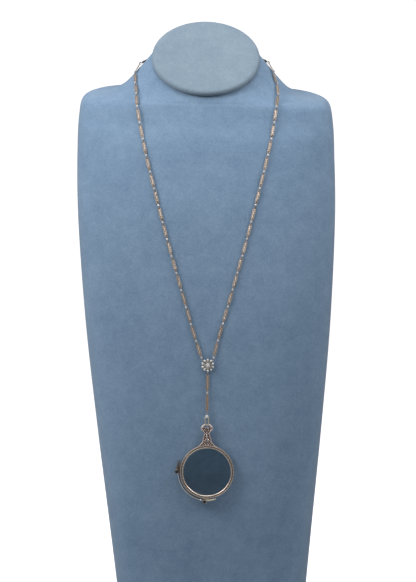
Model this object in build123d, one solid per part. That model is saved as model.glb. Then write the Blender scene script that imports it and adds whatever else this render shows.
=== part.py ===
"""Folding magnifier pendant on its long link chain, hung on a padded neck bust.

Millimetres. Z is up, the bust's face and the pendant look along -Y, and the
origin is the middle of the footprint on the standing surface.
"""
from build123d import *
from math import atan2, cos, degrees, hypot, pi, radians, sin
import os

# Bust: one row a section, from the foot to the seat of the neck cap.
# Each section lies in a plane through its front and its back point.
# columns: front depth, front height, back depth, back height, half width,
# roundness exponent of the front, roundness exponent of the back
BUST_SECTIONS = (
    (-38.0, 0.0, 51.5, 0.0, 66.0, 3.2, 5.0),
    (-44.5, 70.0, 52.0, 70.0, 73.2, 3.2, 5.0),
    (-47.0, 140.0, 51.5, 140.0, 80.7, 3.1, 5.0),
    (-44.5, 215.0, 50.0, 215.0, 87.9, 3.0, 4.8),
    (-36.0, 288.0, 47.5, 292.0, 92.2, 2.9, 4.4),
    (-25.0, 336.0, 45.0, 344.0, 92.1, 2.8, 3.8),
    (-17.8, 355.0, 43.4, 366.0, 91.0, 2.7, 3.3),
    (-14.8, 364.5, 42.4, 378.6, 88.6, 2.6, 3.0),
    (-13.9, 367.8, 42.0, 383.4, 81.5, 2.5, 2.8),
    (-13.3, 369.6, 41.8, 384.8, 70.0, 2.4, 2.6),
    (-12.9, 371.4, 41.3, 390.4, 60.0, 2.3, 2.4),
    (-12.4, 373.2, 40.2, 405.6, 50.0, 2.1, 2.2),
    (-12.0, 374.5, 38.6, 419.3, 42.0, 2.0, 2.0),
    (-11.7, 375.4, 36.9, 426.3, 37.7, 2.0, 2.0),
)
SECTION_POINTS = 20
NECK_START = 20
LEAN = 0.0131
LEAN_TOP = 330.0
LEAN_SHIFT = -0.77
SHOULDER_TILT = 1.3
TILT_START = 288.0
TILT_END = 366.0

# Neck cap: an oval padded panel on the slanted top of the neck
CAP_HALF_WIDTH = 38.7
CAP_HALF_LENGTH = 36.2
CAP_THICKNESS = 4.4
CAP_EDGE_ROUND = 2.0
CAP_GAP = 0.15

# Pendant: places in its own frame, which has x across, y up and z forward
LENS_X = 0.0
LENS_HEIGHT = 113.3
PENDANT_BACK = -47.5
RIM_OUTER = 18.8
RIM_INNER = 16.7
GROOVE_RADIUS = 17.3
LENS_RADIUS = 17.22
REAR_THICKNESS = 1.3
LAYER_GAP = 0.15
FRONT_THICKNESS = 1.9
RIDGE_RADIUS = 0.4
LUG_THICKNESS = 0.8
LUG_OUTER = 20.4
LUG_TAIL_INNER = 19.4
LUG_TAIL_END = -70
SIDE_LUG_BACK = 0.4
SIDE_LUG_OUTLINE = (
    (-22.2, 0.9), (-20.1, 8.3), (-19.5, 8.4), (-18.6, 5.6), (-18.0, 3.6), (-18.3, -1.2),
    (-20.6, -0.9),
)
BRIDGE_THICKNESS = 1.0
BRIDGE_RADIUS = 20.0
BRIDGE_WIDTH = 1.05
KNUCKLE_RADIUS = 1.25
PIN_RADIUS = 0.45
PIN_RUNNING_GAP = 0.05
PIN_SEAT_GAP = 0.02
PIN_HEAD_RADIUS = 0.85
PIN_HEAD_THICKNESS = 0.35
SIDE_PIN = (-21.1, 0.3)
BOTTOM_PIN = (-1.7, -20.9)
COLLET_RADIUS = 1.4
COLLET_HEIGHT = 1.05
COLLET_WALL = 0.3
DARK_STONE_RADIUS = 1.05
FRONT_BACK = REAR_THICKNESS + LAYER_GAP
FRONT_TOP = FRONT_BACK + FRONT_THICKNESS
BRIDGE_TOP = FRONT_BACK + BRIDGE_THICKNESS

# Finial and the clip it hangs from
SWING_HEIGHT = 32.9
SWING_FORWARD = 1.5
FINIAL_BACK = 1.6
FINIAL_THICKNESS = 1.4
# columns of both lists: across, height above the lens's middle, radius
FINIAL_GAPS = (
    (2.35, 30.4, 0.5), (-2.35, 30.4, 0.5), (0, 29.6, 0.45), (1.0, 28.2, 0.3), (-1.0, 28.2, 0.3),
    (1.35, 24.6, 0.4), (-1.35, 24.6, 0.4), (1.9, 22.9, 0.35), (-1.9, 22.9, 0.35),
)
FINIAL_STONES = (
    (0, 22.3, 1.0), (0, 27.0, 0.65), (3.2, 31.2, 0.5), (-3.2, 31.2, 0.5), (0, 25.0, 0.45),
)
FOOT_GAP_ANGLES = (74, 82, 90, 98, 106)
FOOT_GAP_RADIUS = 0.42
FOOT_GAP_RING = 19.7
EYE_HOLE = 0.36
EYE_OUTER = 0.95
EYE_THICKNESS = 0.56
CLIP_WIRE = 0.3
CLIP_HALF_WIDTH = 1.1
CLIP_CORNER = 0.7
CLIP_LENGTH = 5.3
BOSS_RADIUS = 0.95
BOSS_HALF_LENGTH = 0.8
BOSS_HOLE = 0.4

# Chain: flat pointed bars and upright long links that carry a round collet
BAR_LENGTH = 8.3
BAR_HALF_WIDTH = 1.15
BAR_THICKNESS = 0.26
BAR_RIDGE = 0.35
EYE_RADIUS = 0.55
EYE_OPENING = 0.29
LINK_LENGTH = 4.0
LINK_WIRE = 0.12
LINK_RADIUS = 0.54
LINK_PLAY = 0.1
LINK_COLLET_RADIUS = 0.9
LINK_COLLET_HEIGHT = 0.5
CHAIN_UNITS = 23
RING_SIDES = 10
CLASP_RADIUS = 1.1
END_SEGMENTS = 4
EYE_SIDES = 8
WIRE_SIDES = 5

# Route of each half of the chain over the front: across, height, standoff
FRONT_ROUTE = (
    (7.1, 203.2, 1.0), (13.9, 226.5, 1.0), (20.7, 250.3, 1.0), (27.4, 274.0, 1.05),
    (34.2, 300.0, 1.1), (41.2, 327.5, 1.3), (46.6, 352.5, 1.4), (49.4, 369.0, 1.4),
    (50.0, 379.4, 1.4),
)
# Route round the neck: angle from the front about the neck, height, standoff
NECK_ROUTE = (
    (90.0, 391.5, 1.4), (101.0, 398.0, 1.4), (113.0, 401.5, 1.5), (130.0, 403.0, 1.7),
    (155.0, 402.0, 2.2), (180.0, 401.5, 2.6),
)
NECK_AXIS_DEPTH = 15.0

# Floret where the chain halves meet, and the drop below it
FLORET_X = 0.55
FLORET_HEIGHT = 188.1
FLORET_STANDOFF = 1.15
FLORET_EYE_RADIUS = 5.0
FLORET_EYE_ANGLES = (43.0, 137.0, -90.0)
PETALS = 10
PETAL_RING = 3.75
PETAL_RADIUS = 0.85
PETAL_STONE = 0.6
CENTRE_RADIUS = 1.75
CENTRE_STONE = 1.4
FLORET_PLATE = 0.6
DROP_BAR_LENGTHS = (10.8, 11.2)
DROP_BAR_HALF_WIDTH = 1.0
TOP_RING_RADIUS = 0.75
RING_STRAIGHT = 0.3
LOOP_HALF_WIDTH = 1.25
LOOP_HEIGHT = 2.9
LOOP_WIRE = 0.16

STONE_SIDES = 8


def pendant_plane(depth=0.0):
    """Plane of the pendant: x across, y up, z forward from the pendant's back."""
    return Plane(
        origin=(LENS_X, PENDANT_BACK - depth, LENS_HEIGHT), x_dir=(1, 0, 0), z_dir=(0, -1, 0)
    )


def section_plane(row):
    """Plane of a bust section, with its middle, half length and side tilt."""
    front_y, front_z, back_y, back_z = row[:4]
    middle_z = (front_z + back_z) / 2
    half_length = hypot(back_y - front_y, back_z - front_z) / 2
    slope = atan2(back_z - front_z, back_y - front_y)
    share = min(max((middle_z - TILT_START) / (TILT_END - TILT_START), 0.0), 1.0)
    tilt = radians(SHOULDER_TILT) * share
    middle_x = LEAN_SHIFT + LEAN * max(LEAN_TOP - middle_z, 0.0)
    across = Vector(cos(tilt), 0, -sin(tilt))
    back = Vector(0, cos(slope), sin(slope))
    plane = Plane(
        origin=(middle_x, (front_y + back_y) / 2, middle_z),
        x_dir=across,
        z_dir=across.cross(back),
    )
    return plane, half_length


def rounded(value, power):
    """Signed power, which rounds a circle towards a rectangle."""
    return abs(value) ** power if value > 0 else -abs(value) ** power


def bust_section(row):
    """Closed smooth outline of one bust section."""
    half_width, front_power, back_power = row[4:]
    plane, half_length = section_plane(row)
    points = []
    for i in range(SECTION_POINTS):
        turn = 2 * pi * i / SECTION_POINTS
        power = 2 / (front_power if sin(turn) < 0 else back_power)
        points.append(
            (half_width * rounded(cos(turn), power), half_length * rounded(sin(turn), power))
        )
    return plane * Wire([Spline(points, periodic=True)])


def between(rows, i):
    """Section half way from row i to the next, on a smooth curve through its neighbours."""
    before = rows[max(i - 1, 0)]
    after = rows[min(i + 2, len(rows) - 1)]
    weights = (-0.0625, 0.5625, 0.5625, -0.0625)
    columns = zip(before, rows[i], rows[i + 1], after)
    return tuple(sum(w * v for w, v in zip(weights, column)) for column in columns)


def neck_bust():
    """Padded bust: its body, and the neck up to the slanted seat of the cap."""
    outlines = []
    for i, row in enumerate(BUST_SECTIONS[:-1]):
        outlines.append(bust_section(row))
        outlines.append(bust_section(between(BUST_SECTIONS, i)))
    outlines.append(bust_section(BUST_SECTIONS[-1]))
    body = Solid.make_loft(outlines[: NECK_START + 1], ruled=True)
    neck = Solid.make_loft(outlines[NECK_START:], ruled=True)
    return (body + neck).solid()


def neck_cap():
    """Oval padded panel, its outer edge well rounded."""
    seat, _ = section_plane(BUST_SECTIONS[-1])
    cap = extrude(Plane.XY.offset(CAP_GAP) * Ellipse(CAP_HALF_WIDTH, CAP_HALF_LENGTH), CAP_THICKNESS)
    cap = fillet(cap.edges().sort_by(Axis.Z)[-1:], CAP_EDGE_ROUND)
    cap = fillet(cap.edges().sort_by(Axis.Z)[:1], CAP_EDGE_ROUND / 2)
    return seat * cap


def ring_points(radius, height, sides=STONE_SIDES):
    """Corners of a regular outline at one height."""
    turns = [2 * pi * i / sides for i in range(sides)]
    return [(radius * cos(a), radius * sin(a), height) for a in turns]


def faceted(rings):
    """Closed solid of flat facets through rings of corners, the lowest ring first."""
    faces = [Face(Wire.make_polygon(rings[0])), Face(Wire.make_polygon(rings[-1]))]
    for lower, upper in zip(rings, rings[1:]):
        for i in range(len(lower)):
            j = (i + 1) % len(lower)
            faces.append(Face(Wire.make_polygon([lower[i], lower[j], upper[j], upper[i]])))
    solid = Solid(Shell(faces))
    return solid if solid.volume > 0 else Solid(Shell([-face for face in faces]))


def cut_stone(radius, sides=STONE_SIDES):
    """Cut stone with a table, crown and pavilion facets, its girdle at z = 0."""
    culet = ring_points(0.25 * radius, -0.45 * radius, sides)
    girdle = ring_points(radius, 0, sides)
    table = ring_points(0.58 * radius, 0.36 * radius, sides)
    return faceted([culet, girdle, table])


def flat_bar(length, half_width):
    """Pointed flat bar along x with an eye at each end and a raised ridge."""
    half = length / 2
    shoulder = half - EYE_RADIUS * 1.2
    neck = EYE_RADIUS * 0.62
    end = [
        (half + EYE_RADIUS * cos(radians(a)), EYE_RADIUS * sin(radians(a)))
        for a in (-75, -25, 25, 75)
    ]
    right = [(half - shoulder * 0.5, -half_width * 0.86), (shoulder, -neck)] + end
    right += [(shoulder, neck), (half - shoulder * 0.5, half_width * 0.86)]
    left = [(-x, -y) for x, y in right]
    outline = right + [(0, half_width)] + left + [(0, -half_width)]
    plate = extrude(make_face(Polyline(outline, close=True)), BAR_THICKNESS / 2, both=True)
    for side in (1, -1):
        hole = RegularPolygon(EYE_OPENING, EYE_SIDES)
        plate -= Pos(side * half, 0) * extrude(hole, BAR_THICKNESS, both=True)
    rings = []
    for share, height in ((1.0, 0.0), (0.5, BAR_RIDGE + BAR_THICKNESS / 2)):
        reach, width = share * shoulder * 0.9, share * half_width * 0.8
        rings.append([(reach, 0, height), (0, width, height), (-reach, 0, height), (0, -width, height)])
    return (plate + faceted(rings)).solid()


def wire_loop(straight, radius, wire):
    """Upright closed loop in the xz plane: two straight runs and two round ends."""
    path = []
    for side in (1, -1):
        for i in range(END_SEGMENTS + 1):
            turn = radians(-90 + 180 * i / END_SEGMENTS)
            path.append((side * (straight / 2 + radius * cos(turn)), 0, side * radius * sin(turn)))
    route = Wire.make_polygon(path)
    start = Vector(*path[0])
    heading = (Vector(*path[1]) - start).normalized()
    section = Plane(origin=start, z_dir=heading) * RegularPolygon(wire, WIRE_SIDES)
    return sweep(section, path=route, transition=Transition.RIGHT)


def collet_link(length, collet_radius):
    """Upright long link with a round collet and its small stone on top."""
    reach = EYE_OPENING + LINK_RADIUS - LINK_WIRE - LINK_PLAY
    loop = wire_loop(length - 2 * reach, LINK_RADIUS, LINK_WIRE)
    seat = Pos(0, 0, LINK_RADIUS - LINK_WIRE)
    collet = seat * extrude(RegularPolygon(collet_radius, RING_SIDES), LINK_COLLET_HEIGHT)
    top = LINK_RADIUS - LINK_WIRE + LINK_COLLET_HEIGHT
    girdle = ring_points(collet_radius * 0.82, top - 0.05)
    table = ring_points(collet_radius * 0.5, top + 0.25)
    return (loop + collet + faceted([girdle, table])).solid()


def placed(piece, start, end, outward):
    """Piece laid along the line from start to end, its top facing outward."""
    plane = Plane(origin=(start + end) * 0.5, x_dir=end - start, z_dir=outward)
    across = outward.cross(end - start)
    plane = Plane(origin=(start + end) * 0.5, x_dir=end - start, z_dir=(end - start).cross(across))
    return plane * piece


def surface_hit(bust, start, direction):
    """Where a line first meets the bust, and the way out of the surface there."""
    hits = bust.find_intersection_points(Axis(start, direction))
    ahead = [hit for hit in hits if (hit[0] - Vector(*start)).dot(Vector(*direction)) > 0]
    point, normal = min(ahead, key=lambda hit: (hit[0] - Vector(*start)).length)
    if normal.dot(Vector(*direction)) > 0:
        normal = normal * -1
    return point, normal


def chain_route(bust, side, start):
    """Two smooth lines over the bust: the chain's middle and one further out."""
    inner = [start]
    outer = [start + Vector(0, -3, 0)]
    for across, height, standoff in FRONT_ROUTE:
        point, normal = surface_hit(bust, (side * across, -200, height), (0, 1, 0))
        inner.append(point + normal * standoff)
        outer.append(point + normal * (standoff + 3))
    for angle, height, standoff in NECK_ROUTE:
        turn = radians(angle)
        way = Vector(-side * sin(turn), cos(turn), 0)
        origin = Vector(0, NECK_AXIS_DEPTH, height) - way * 200
        point, normal = surface_hit(bust, tuple(origin), tuple(way))
        inner.append(point + normal * standoff)
        outer.append(point + normal * (standoff + 3))
    return Spline(inner), Spline(outer)


def step_along(route, share, length):
    """Share of the route where the straight distance from here is the length."""
    here = route.position_at(share)
    low = share
    high = min(share + 3 * length / route.length, 1.0)
    for _ in range(40):
        middle = (low + high) / 2
        if (route.position_at(middle) - here).length < length:
            low = middle
        else:
            high = middle
    return high


def chain_half(bust, side, start):
    """One half of the chain, from the floret's eye to the clasp behind the neck."""
    route, outer = chain_route(bust, side, start)
    bar = flat_bar(BAR_LENGTH, BAR_HALF_WIDTH)
    link = collet_link(LINK_LENGTH, LINK_COLLET_RADIUS)
    pieces = []
    share = 0.0
    for i in range(2 * CHAIN_UNITS + 1):
        length, piece = (LINK_LENGTH, link) if i % 2 == 0 else (BAR_LENGTH, bar)
        following = step_along(route, share, length)
        middle = (share + following) / 2
        outward = (outer.position_at(middle) - route.position_at(middle)).normalized()
        pieces.append(placed(piece, route.position_at(share), route.position_at(following), outward))
        share = following
    return Compound(children=pieces), route.position_at(share)


def clasp(left_end, right_end):
    """Plain barrel clasp behind the neck, with a flat eye at each end."""
    length = (right_end - left_end).length
    half = length / 2
    body = Cylinder(CLASP_RADIUS, length - 2.4, rotation=(0, 90, 0))
    tab_length = 1.4
    for side in (1, -1):
        tab = Pos(side * half) * Cylinder(EYE_RADIUS, BAR_THICKNESS)
        neck = Pos(side * (half - tab_length / 2)) * Box(tab_length, 2 * EYE_RADIUS * 0.8, BAR_THICKNESS)
        body = body + tab + neck - Pos(side * half) * Cylinder(EYE_OPENING, 2)
    return placed(body.solid(), left_end, right_end, Vector(0, 1, 0))


def floret_plane(middle):
    """Plane of the floret: x across, y up, z forward."""
    return Plane(origin=middle, x_dir=(1, 0, 0), z_dir=(0, -1, 0))


def floret_setting(middle):
    """Round floret: a plate, ten petal collets, a centre collet and three eyes."""
    plate = extrude(Circle(PETAL_RING), FLORET_PLATE / 2, both=True)
    for i in range(PETALS):
        turn = 2 * pi * (i + 0.5) / PETALS
        spot = Pos(PETAL_RING * cos(turn), PETAL_RING * sin(turn))
        plate += spot * extrude(Circle(PETAL_RADIUS), 0.9)
        plate += spot * extrude(Circle(PETAL_RADIUS), -FLORET_PLATE / 2)
    plate += extrude(Circle(CENTRE_RADIUS), 1.3)
    for angle in FLORET_EYE_ANGLES:
        turn = radians(angle)
        eye = Pos(FLORET_EYE_RADIUS * cos(turn), FLORET_EYE_RADIUS * sin(turn))
        inner = Pos((PETAL_RING - 0.4) * cos(turn), (PETAL_RING - 0.4) * sin(turn))
        reach = FLORET_EYE_RADIUS - PETAL_RING + 0.4
        stem = inner * Rot(0, 0, angle) * Pos(reach / 2 - 0.1) * Box(reach - 0.2, 0.7, BAR_THICKNESS)
        plate += stem
        plate += eye * extrude(Circle(EYE_RADIUS), BAR_THICKNESS / 2, both=True)
        plate -= eye * extrude(Circle(EYE_OPENING), 2, both=True)
    for i in range(PETALS):
        turn = 2 * pi * (i + 0.5) / PETALS
        spot = Pos(PETAL_RING * cos(turn), PETAL_RING * sin(turn), 0.9 - 0.3)
        plate -= spot * extrude(Circle(PETAL_STONE + 0.06), 1)
    plate -= Pos(0, 0, 1.3 - 0.7) * extrude(Circle(CENTRE_STONE + 0.06), 1)
    return floret_plane(middle) * plate.solid()


def floret_stones(middle):
    """Ten small stones and the centre stone, each clear of its collet."""
    stones = []
    for i in range(PETALS):
        turn = 2 * pi * (i + 0.5) / PETALS
        stones.append(Pos(PETAL_RING * cos(turn), PETAL_RING * sin(turn), 0.95) * cut_stone(PETAL_STONE))
    stones.append(Pos(0, 0, 1.35) * cut_stone(CENTRE_STONE, 12))
    return floret_plane(middle) * Compound(children=stones)


def drop_chain(top_eye, clip_hole):
    """Ring, two pointed bars with a collet link between, a ring and the end loop."""
    outward = Vector(0, -1, 0)
    loop_top = clip_hole + Vector(0, 0, LOOP_HEIGHT)
    ring_span = RING_STRAIGHT + 2 * (LINK_RADIUS - LINK_WIRE) - LOOP_WIRE + EYE_OPENING - 2 * LINK_PLAY
    last_eye = loop_top + Vector(0, 0, ring_span)
    line = last_eye - top_eye
    way = line.normalized()
    top_reach = EYE_OPENING + TOP_RING_RADIUS + RING_STRAIGHT / 2 - LINK_WIRE - LINK_PLAY
    middle_link = line.length - 2 * top_reach - sum(DROP_BAR_LENGTHS)
    eyes = [top_eye + way * (2 * top_reach)]
    for length in (DROP_BAR_LENGTHS[0], middle_link, DROP_BAR_LENGTHS[1]):
        eyes.append(eyes[-1] + way * length)
    pieces = [placed(wire_loop(RING_STRAIGHT, TOP_RING_RADIUS, LINK_WIRE), top_eye, eyes[0], outward)]
    for i, length in ((0, DROP_BAR_LENGTHS[0]), (2, DROP_BAR_LENGTHS[1])):
        pieces.append(placed(flat_bar(length, DROP_BAR_HALF_WIDTH), eyes[i], eyes[i + 1], outward))
    pieces.append(placed(collet_link(middle_link, LINK_COLLET_RADIUS * 0.9), eyes[1], eyes[2], outward))
    pieces.append(placed(wire_loop(RING_STRAIGHT, LINK_RADIUS, LINK_WIRE), last_eye, loop_top, outward))
    corners = [loop_top, clip_hole + Vector(LOOP_HALF_WIDTH, 0, 0), clip_hole - Vector(LOOP_HALF_WIDTH, 0, 0)]
    path = Wire.make_polygon(corners)
    start = (corners[1] + corners[2]) * 0.5
    rounded_path = path.fillet_2d(0.35, path.vertices())
    section = Plane(origin=start, x_dir=(0, 1, 0), z_dir=(1, 0, 0)) * Circle(LOOP_WIRE)
    pieces.append(sweep(section, path=rounded_path))
    return Compound(children=pieces)


def swing_point():
    """Middle of the clip's lowest wire, which the finial's eye turns on."""
    return Vector(LENS_X, PENDANT_BACK - SWING_FORWARD, LENS_HEIGHT + SWING_HEIGHT)


def pendant_clip():
    """Polished long hoop with a drilled boss at its top."""
    bottom = swing_point()
    middle = bottom + Vector(0, 0, CLIP_LENGTH / 2)
    plane = Plane(origin=middle, x_dir=(1, 0, 0), z_dir=(0, -1, 0))
    outline = plane * RectangleRounded(2 * CLIP_HALF_WIDTH, CLIP_LENGTH, CLIP_CORNER)
    section = Plane(origin=bottom, x_dir=(0, 1, 0), z_dir=(1, 0, 0)) * Circle(CLIP_WIRE)
    hoop = sweep(section, path=outline.wire())
    hole = bottom + Vector(0, 0, CLIP_LENGTH + BOSS_RADIUS * 0.75)
    boss = Pos(*hole) * Cylinder(BOSS_RADIUS, 2 * BOSS_HALF_LENGTH, rotation=(0, 90, 0))
    boss = fillet(boss.edges(), 0.25)
    drill = Pos(*hole) * Cylinder(BOSS_HOLE, 4 * BOSS_HALF_LENGTH, rotation=(0, 90, 0))
    return (hoop + boss - drill).solid(), hole


def rim_profile(back, front, groove_low, groove_high, ridges):
    """Cross-section of a rim: radius against forward place."""
    shoulder = front - RIDGE_RADIUS if ridges else front
    points = [
        (RIM_INNER, groove_low), (RIM_INNER, back), (RIM_OUTER, back), (RIM_OUTER, shoulder),
    ]
    lines = [Polyline(points)]
    if ridges:
        outer_in = RIM_OUTER - 2 * RIDGE_RADIUS
        inner_out = RIM_INNER + 2 * RIDGE_RADIUS
        lines.append(
            ThreePointArc((RIM_OUTER, shoulder), (RIM_OUTER - RIDGE_RADIUS, front), (outer_in, shoulder))
        )
        lines.append(Line((outer_in, shoulder), (inner_out, shoulder)))
        lines.append(
            ThreePointArc((inner_out, shoulder), (RIM_INNER + RIDGE_RADIUS, front), (RIM_INNER, shoulder))
        )
    else:
        lines.append(Line((RIM_OUTER, shoulder), (RIM_INNER, shoulder)))
    lines.append(
        Polyline(
            (RIM_INNER, shoulder), (RIM_INNER, groove_high), (GROOVE_RADIUS, groove_high),
            (GROOVE_RADIUS, groove_low), (RIM_INNER, groove_low),
        )
    )
    return make_face(lines)


def turned(profile):
    """Solid of revolution about the pendant's forward axis."""
    return revolve(Plane.XZ * profile, Axis.Z)


def sector(inner, outer, start, end, back, thickness):
    """Part of a flat ring between two radii and two angles."""
    first, last = radians(start), radians(end)
    middle = (first + last) / 2
    lines = [
        ThreePointArc(*[(outer * cos(a), outer * sin(a)) for a in (first, middle, last)]),
        Line((outer * cos(last), outer * sin(last)), (inner * cos(last), inner * sin(last))),
        ThreePointArc(*[(inner * cos(a), inner * sin(a)) for a in (last, middle, first)]),
        Line((inner * cos(first), inner * sin(first)), (outer * cos(first), outer * sin(first))),
    ]
    return Pos(0, 0, back) * extrude(make_face(lines), thickness)


def disc(place, radius, back, thickness):
    """Flat disc at a place in the pendant's plane."""
    return Pos(place[0], place[1], back) * extrude(Circle(radius), thickness)


def polar(radius, angle):
    """Point at a radius and an angle in degrees."""
    return radius * cos(radians(angle)), radius * sin(radians(angle))


def finial_face():
    """Outline of the finial: flared foot, bulb, neck and a two-armed crown."""
    foot = polar(RIM_OUTER - 0.05, 61)
    right = [
        ThreePointArc(foot, (5.5, 18.9), (3.2, 21.3)),
        ThreePointArc((3.2, 21.3), (3.05, 23.7), (2.05, 26.1)),
        ThreePointArc((2.05, 26.1), (2.6, 28.2), (4.3, 30.1)),
        ThreePointArc((4.3, 30.1), (3.5, 32.2), (1.95, 33.7)),
        Line((1.95, 33.7), (1.6, 33.4)),
        ThreePointArc((1.6, 33.4), (1.2, 31.9), (0, 31.3)),
    ]
    left = [mirror(line, Plane.YZ) for line in right]
    base = ThreePointArc(foot, (0, RIM_OUTER - 0.6), (-foot[0], foot[1]))
    return make_face(right + left + [base])


def finial():
    """Pierced finial with collets for its stones and the eye at its top."""
    plate = Pos(0, 0, FINIAL_BACK) * extrude(finial_face(), FINIAL_THICKNESS)
    for x, y, radius in FINIAL_GAPS:
        plate -= disc((x, y), radius, 0, 5)
    for angle in FOOT_GAP_ANGLES:
        plate -= disc(polar(FOOT_GAP_RING, angle), FOOT_GAP_RADIUS, 0, 5)
    front = FINIAL_BACK + FINIAL_THICKNESS
    for x, y, radius in FINIAL_STONES:
        plate += disc((x, y), radius + 0.18, front - 0.4, 0.7)
        plate -= disc((x, y), radius + 0.05, front - 0.05, 1)
    eye = Plane.YZ * Pos(SWING_HEIGHT, SWING_FORWARD) * Circle(EYE_OUTER)
    stem = Plane.YZ * Pos(SWING_HEIGHT - 1.1, SWING_FORWARD + 0.4) * Rectangle(1.4, 1.2)
    plate += extrude(eye, EYE_THICKNESS / 2, both=True) + extrude(stem, EYE_THICKNESS / 2, both=True)
    hole = Plane.YZ * Pos(SWING_HEIGHT, SWING_FORWARD) * Circle(EYE_HOLE)
    return plate - extrude(hole, 2, both=True)


def finial_stones():
    """The finial's cut stones, each just clear of its collet."""
    front = FINIAL_BACK + FINIAL_THICKNESS
    stones = [Pos(x, y, front + 0.45) * cut_stone(radius) for x, y, radius in FINIAL_STONES]
    return pendant_plane() * Compound(children=stones)


def front_frame():
    """Front lens frame: ridged rim, soldered finial and the bottom pin's lug."""
    rim = turned(rim_profile(FRONT_BACK, FRONT_TOP, 2.05, 2.75, ridges=True))
    lug_back = FRONT_TOP - LUG_THICKNESS
    lug = sector(RIM_OUTER - 0.5, LUG_OUTER, -99, -87, lug_back, LUG_THICKNESS)
    lug += sector(LUG_TAIL_INNER, LUG_OUTER, -90, LUG_TAIL_END, lug_back, LUG_THICKNESS)
    lug += disc(BOTTOM_PIN, KNUCKLE_RADIUS, lug_back, LUG_THICKNESS)
    lug -= disc(BOTTOM_PIN, PIN_RADIUS + PIN_SEAT_GAP, 0, 6)
    return pendant_plane() * (rim + finial() + lug).solid()


def rear_frame():
    """Rear lens frame: plain rim and the side pin's lug with its tail."""
    rim = turned(rim_profile(0, REAR_THICKNESS, 0.35, 0.95, ridges=False))
    thickness = REAR_THICKNESS - SIDE_LUG_BACK
    outline = Polyline(SIDE_LUG_OUTLINE, close=True)
    lug = Pos(0, 0, SIDE_LUG_BACK) * extrude(make_face(outline), thickness)
    lug += disc(SIDE_PIN, KNUCKLE_RADIUS, SIDE_LUG_BACK, thickness)
    lug -= disc(SIDE_PIN, PIN_RADIUS + PIN_RUNNING_GAP, -1, 6)
    return pendant_plane() * (rim + lug).solid()


def lens(middle, edge, depth):
    """Round magnifying lens: what two large spheres and the rim's groove share."""
    bow = (depth - edge) / 2
    sphere_radius = (LENS_RADIUS**2 + bow**2) / (2 * bow)
    offset = sphere_radius - depth / 2
    front = Pos(0, 0, middle - offset) * Sphere(sphere_radius)
    back = Pos(0, 0, middle + offset) * Sphere(sphere_radius)
    disc_edge = Pos(0, 0, middle) * Cylinder(LENS_RADIUS, 2 * depth)
    return pendant_plane() * (disc_edge & front & back).solid()


def bridge_bar():
    """Curved bar that joins the two lens frames, with a knuckle at each end."""
    start = degrees(atan2(SIDE_PIN[1], SIDE_PIN[0])) + 2.0
    end = degrees(atan2(BOTTOM_PIN[1], BOTTOM_PIN[0])) + 360 - 2.0
    inner = BRIDGE_RADIUS - BRIDGE_WIDTH / 2
    outer = BRIDGE_RADIUS + BRIDGE_WIDTH / 2
    bar = sector(inner, outer, start, end, FRONT_BACK, BRIDGE_THICKNESS)
    bar += disc(SIDE_PIN, KNUCKLE_RADIUS, FRONT_BACK, BRIDGE_THICKNESS)
    bar += disc(BOTTOM_PIN, KNUCKLE_RADIUS, FRONT_BACK, BRIDGE_THICKNESS)
    bar -= disc(SIDE_PIN, PIN_RADIUS + PIN_SEAT_GAP, 0, 6)
    bar -= disc(BOTTOM_PIN, PIN_RADIUS + PIN_RUNNING_GAP, 0, 6)
    return pendant_plane() * bar.solid()


def collet_pin(place, back, head, seat):
    """Hinge pin: the stone's collet in front, the shaft and, where it has one, a flat head."""
    pin = disc(place, PIN_RADIUS, back, seat - back + 0.3)
    if head:
        pin += disc(place, PIN_HEAD_RADIUS, back, head)
    pin += disc(place, COLLET_RADIUS, seat, COLLET_HEIGHT)
    pin -= disc(place, COLLET_RADIUS - COLLET_WALL, seat + 0.4, COLLET_HEIGHT)
    return pendant_plane() * pin.solid()


def dark_stone(place, seat):
    """Round dark stone standing in its collet."""
    spot = Pos(place[0], place[1], seat + 0.4 + 0.53)
    return pendant_plane() * spot * cut_stone(DARK_STONE_RADIUS, 12)


def save(shape, name):
    """Write one named piece."""
    export_step(shape, f"parts/{name}.step")


def main():
    os.makedirs("parts", exist_ok=True)
    bust = neck_bust()
    save(bust, "neck_bust")
    save(neck_cap(), "neck_cap")

    face, _ = surface_hit(bust, (FLORET_X, -200, FLORET_HEIGHT), (0, 1, 0))
    middle = face + Vector(0, -FLORET_STANDOFF, 0)
    save(floret_setting(middle), "floret_setting")
    save(floret_stones(middle), "floret_stones")
    eyes = []
    for angle in FLORET_EYE_ANGLES:
        x, z = polar(FLORET_EYE_RADIUS, angle)
        eyes.append(middle + Vector(x, 0, z))

    right, right_end = chain_half(bust, 1, eyes[0])
    save(right, "chain_right")
    left, left_end = chain_half(bust, -1, eyes[1])
    save(left, "chain_left")
    save(clasp(left_end, right_end), "clasp")

    clip, clip_hole = pendant_clip()
    save(clip, "pendant_clip")
    save(drop_chain(eyes[2], clip_hole), "drop_chain")

    save(front_frame(), "front_frame")
    save(lens(2.4, 0.6, 1.8), "front_lens")
    save(finial_stones(), "finial_stones")
    save(collet_pin(BOTTOM_PIN, FRONT_BACK + LAYER_GAP, 0, FRONT_TOP + PIN_SEAT_GAP), "bottom_pin")
    save(dark_stone(BOTTOM_PIN, FRONT_TOP + PIN_SEAT_GAP), "bottom_stone")

    save(bridge_bar(), "bridge_bar")
    side_seat = BRIDGE_TOP + PIN_SEAT_GAP
    save(collet_pin(SIDE_PIN, 0, PIN_HEAD_THICKNESS, side_seat), "side_pin")
    save(dark_stone(SIDE_PIN, side_seat), "side_stone")

    save(rear_frame(), "rear_frame")
    save(lens(0.65, 0.5, 1.2), "rear_lens")


if __name__ == "__main__":
    main()
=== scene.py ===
"""Looks of a folding magnifier pendant on its long chain, shown on a padded neck bust."""

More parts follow.
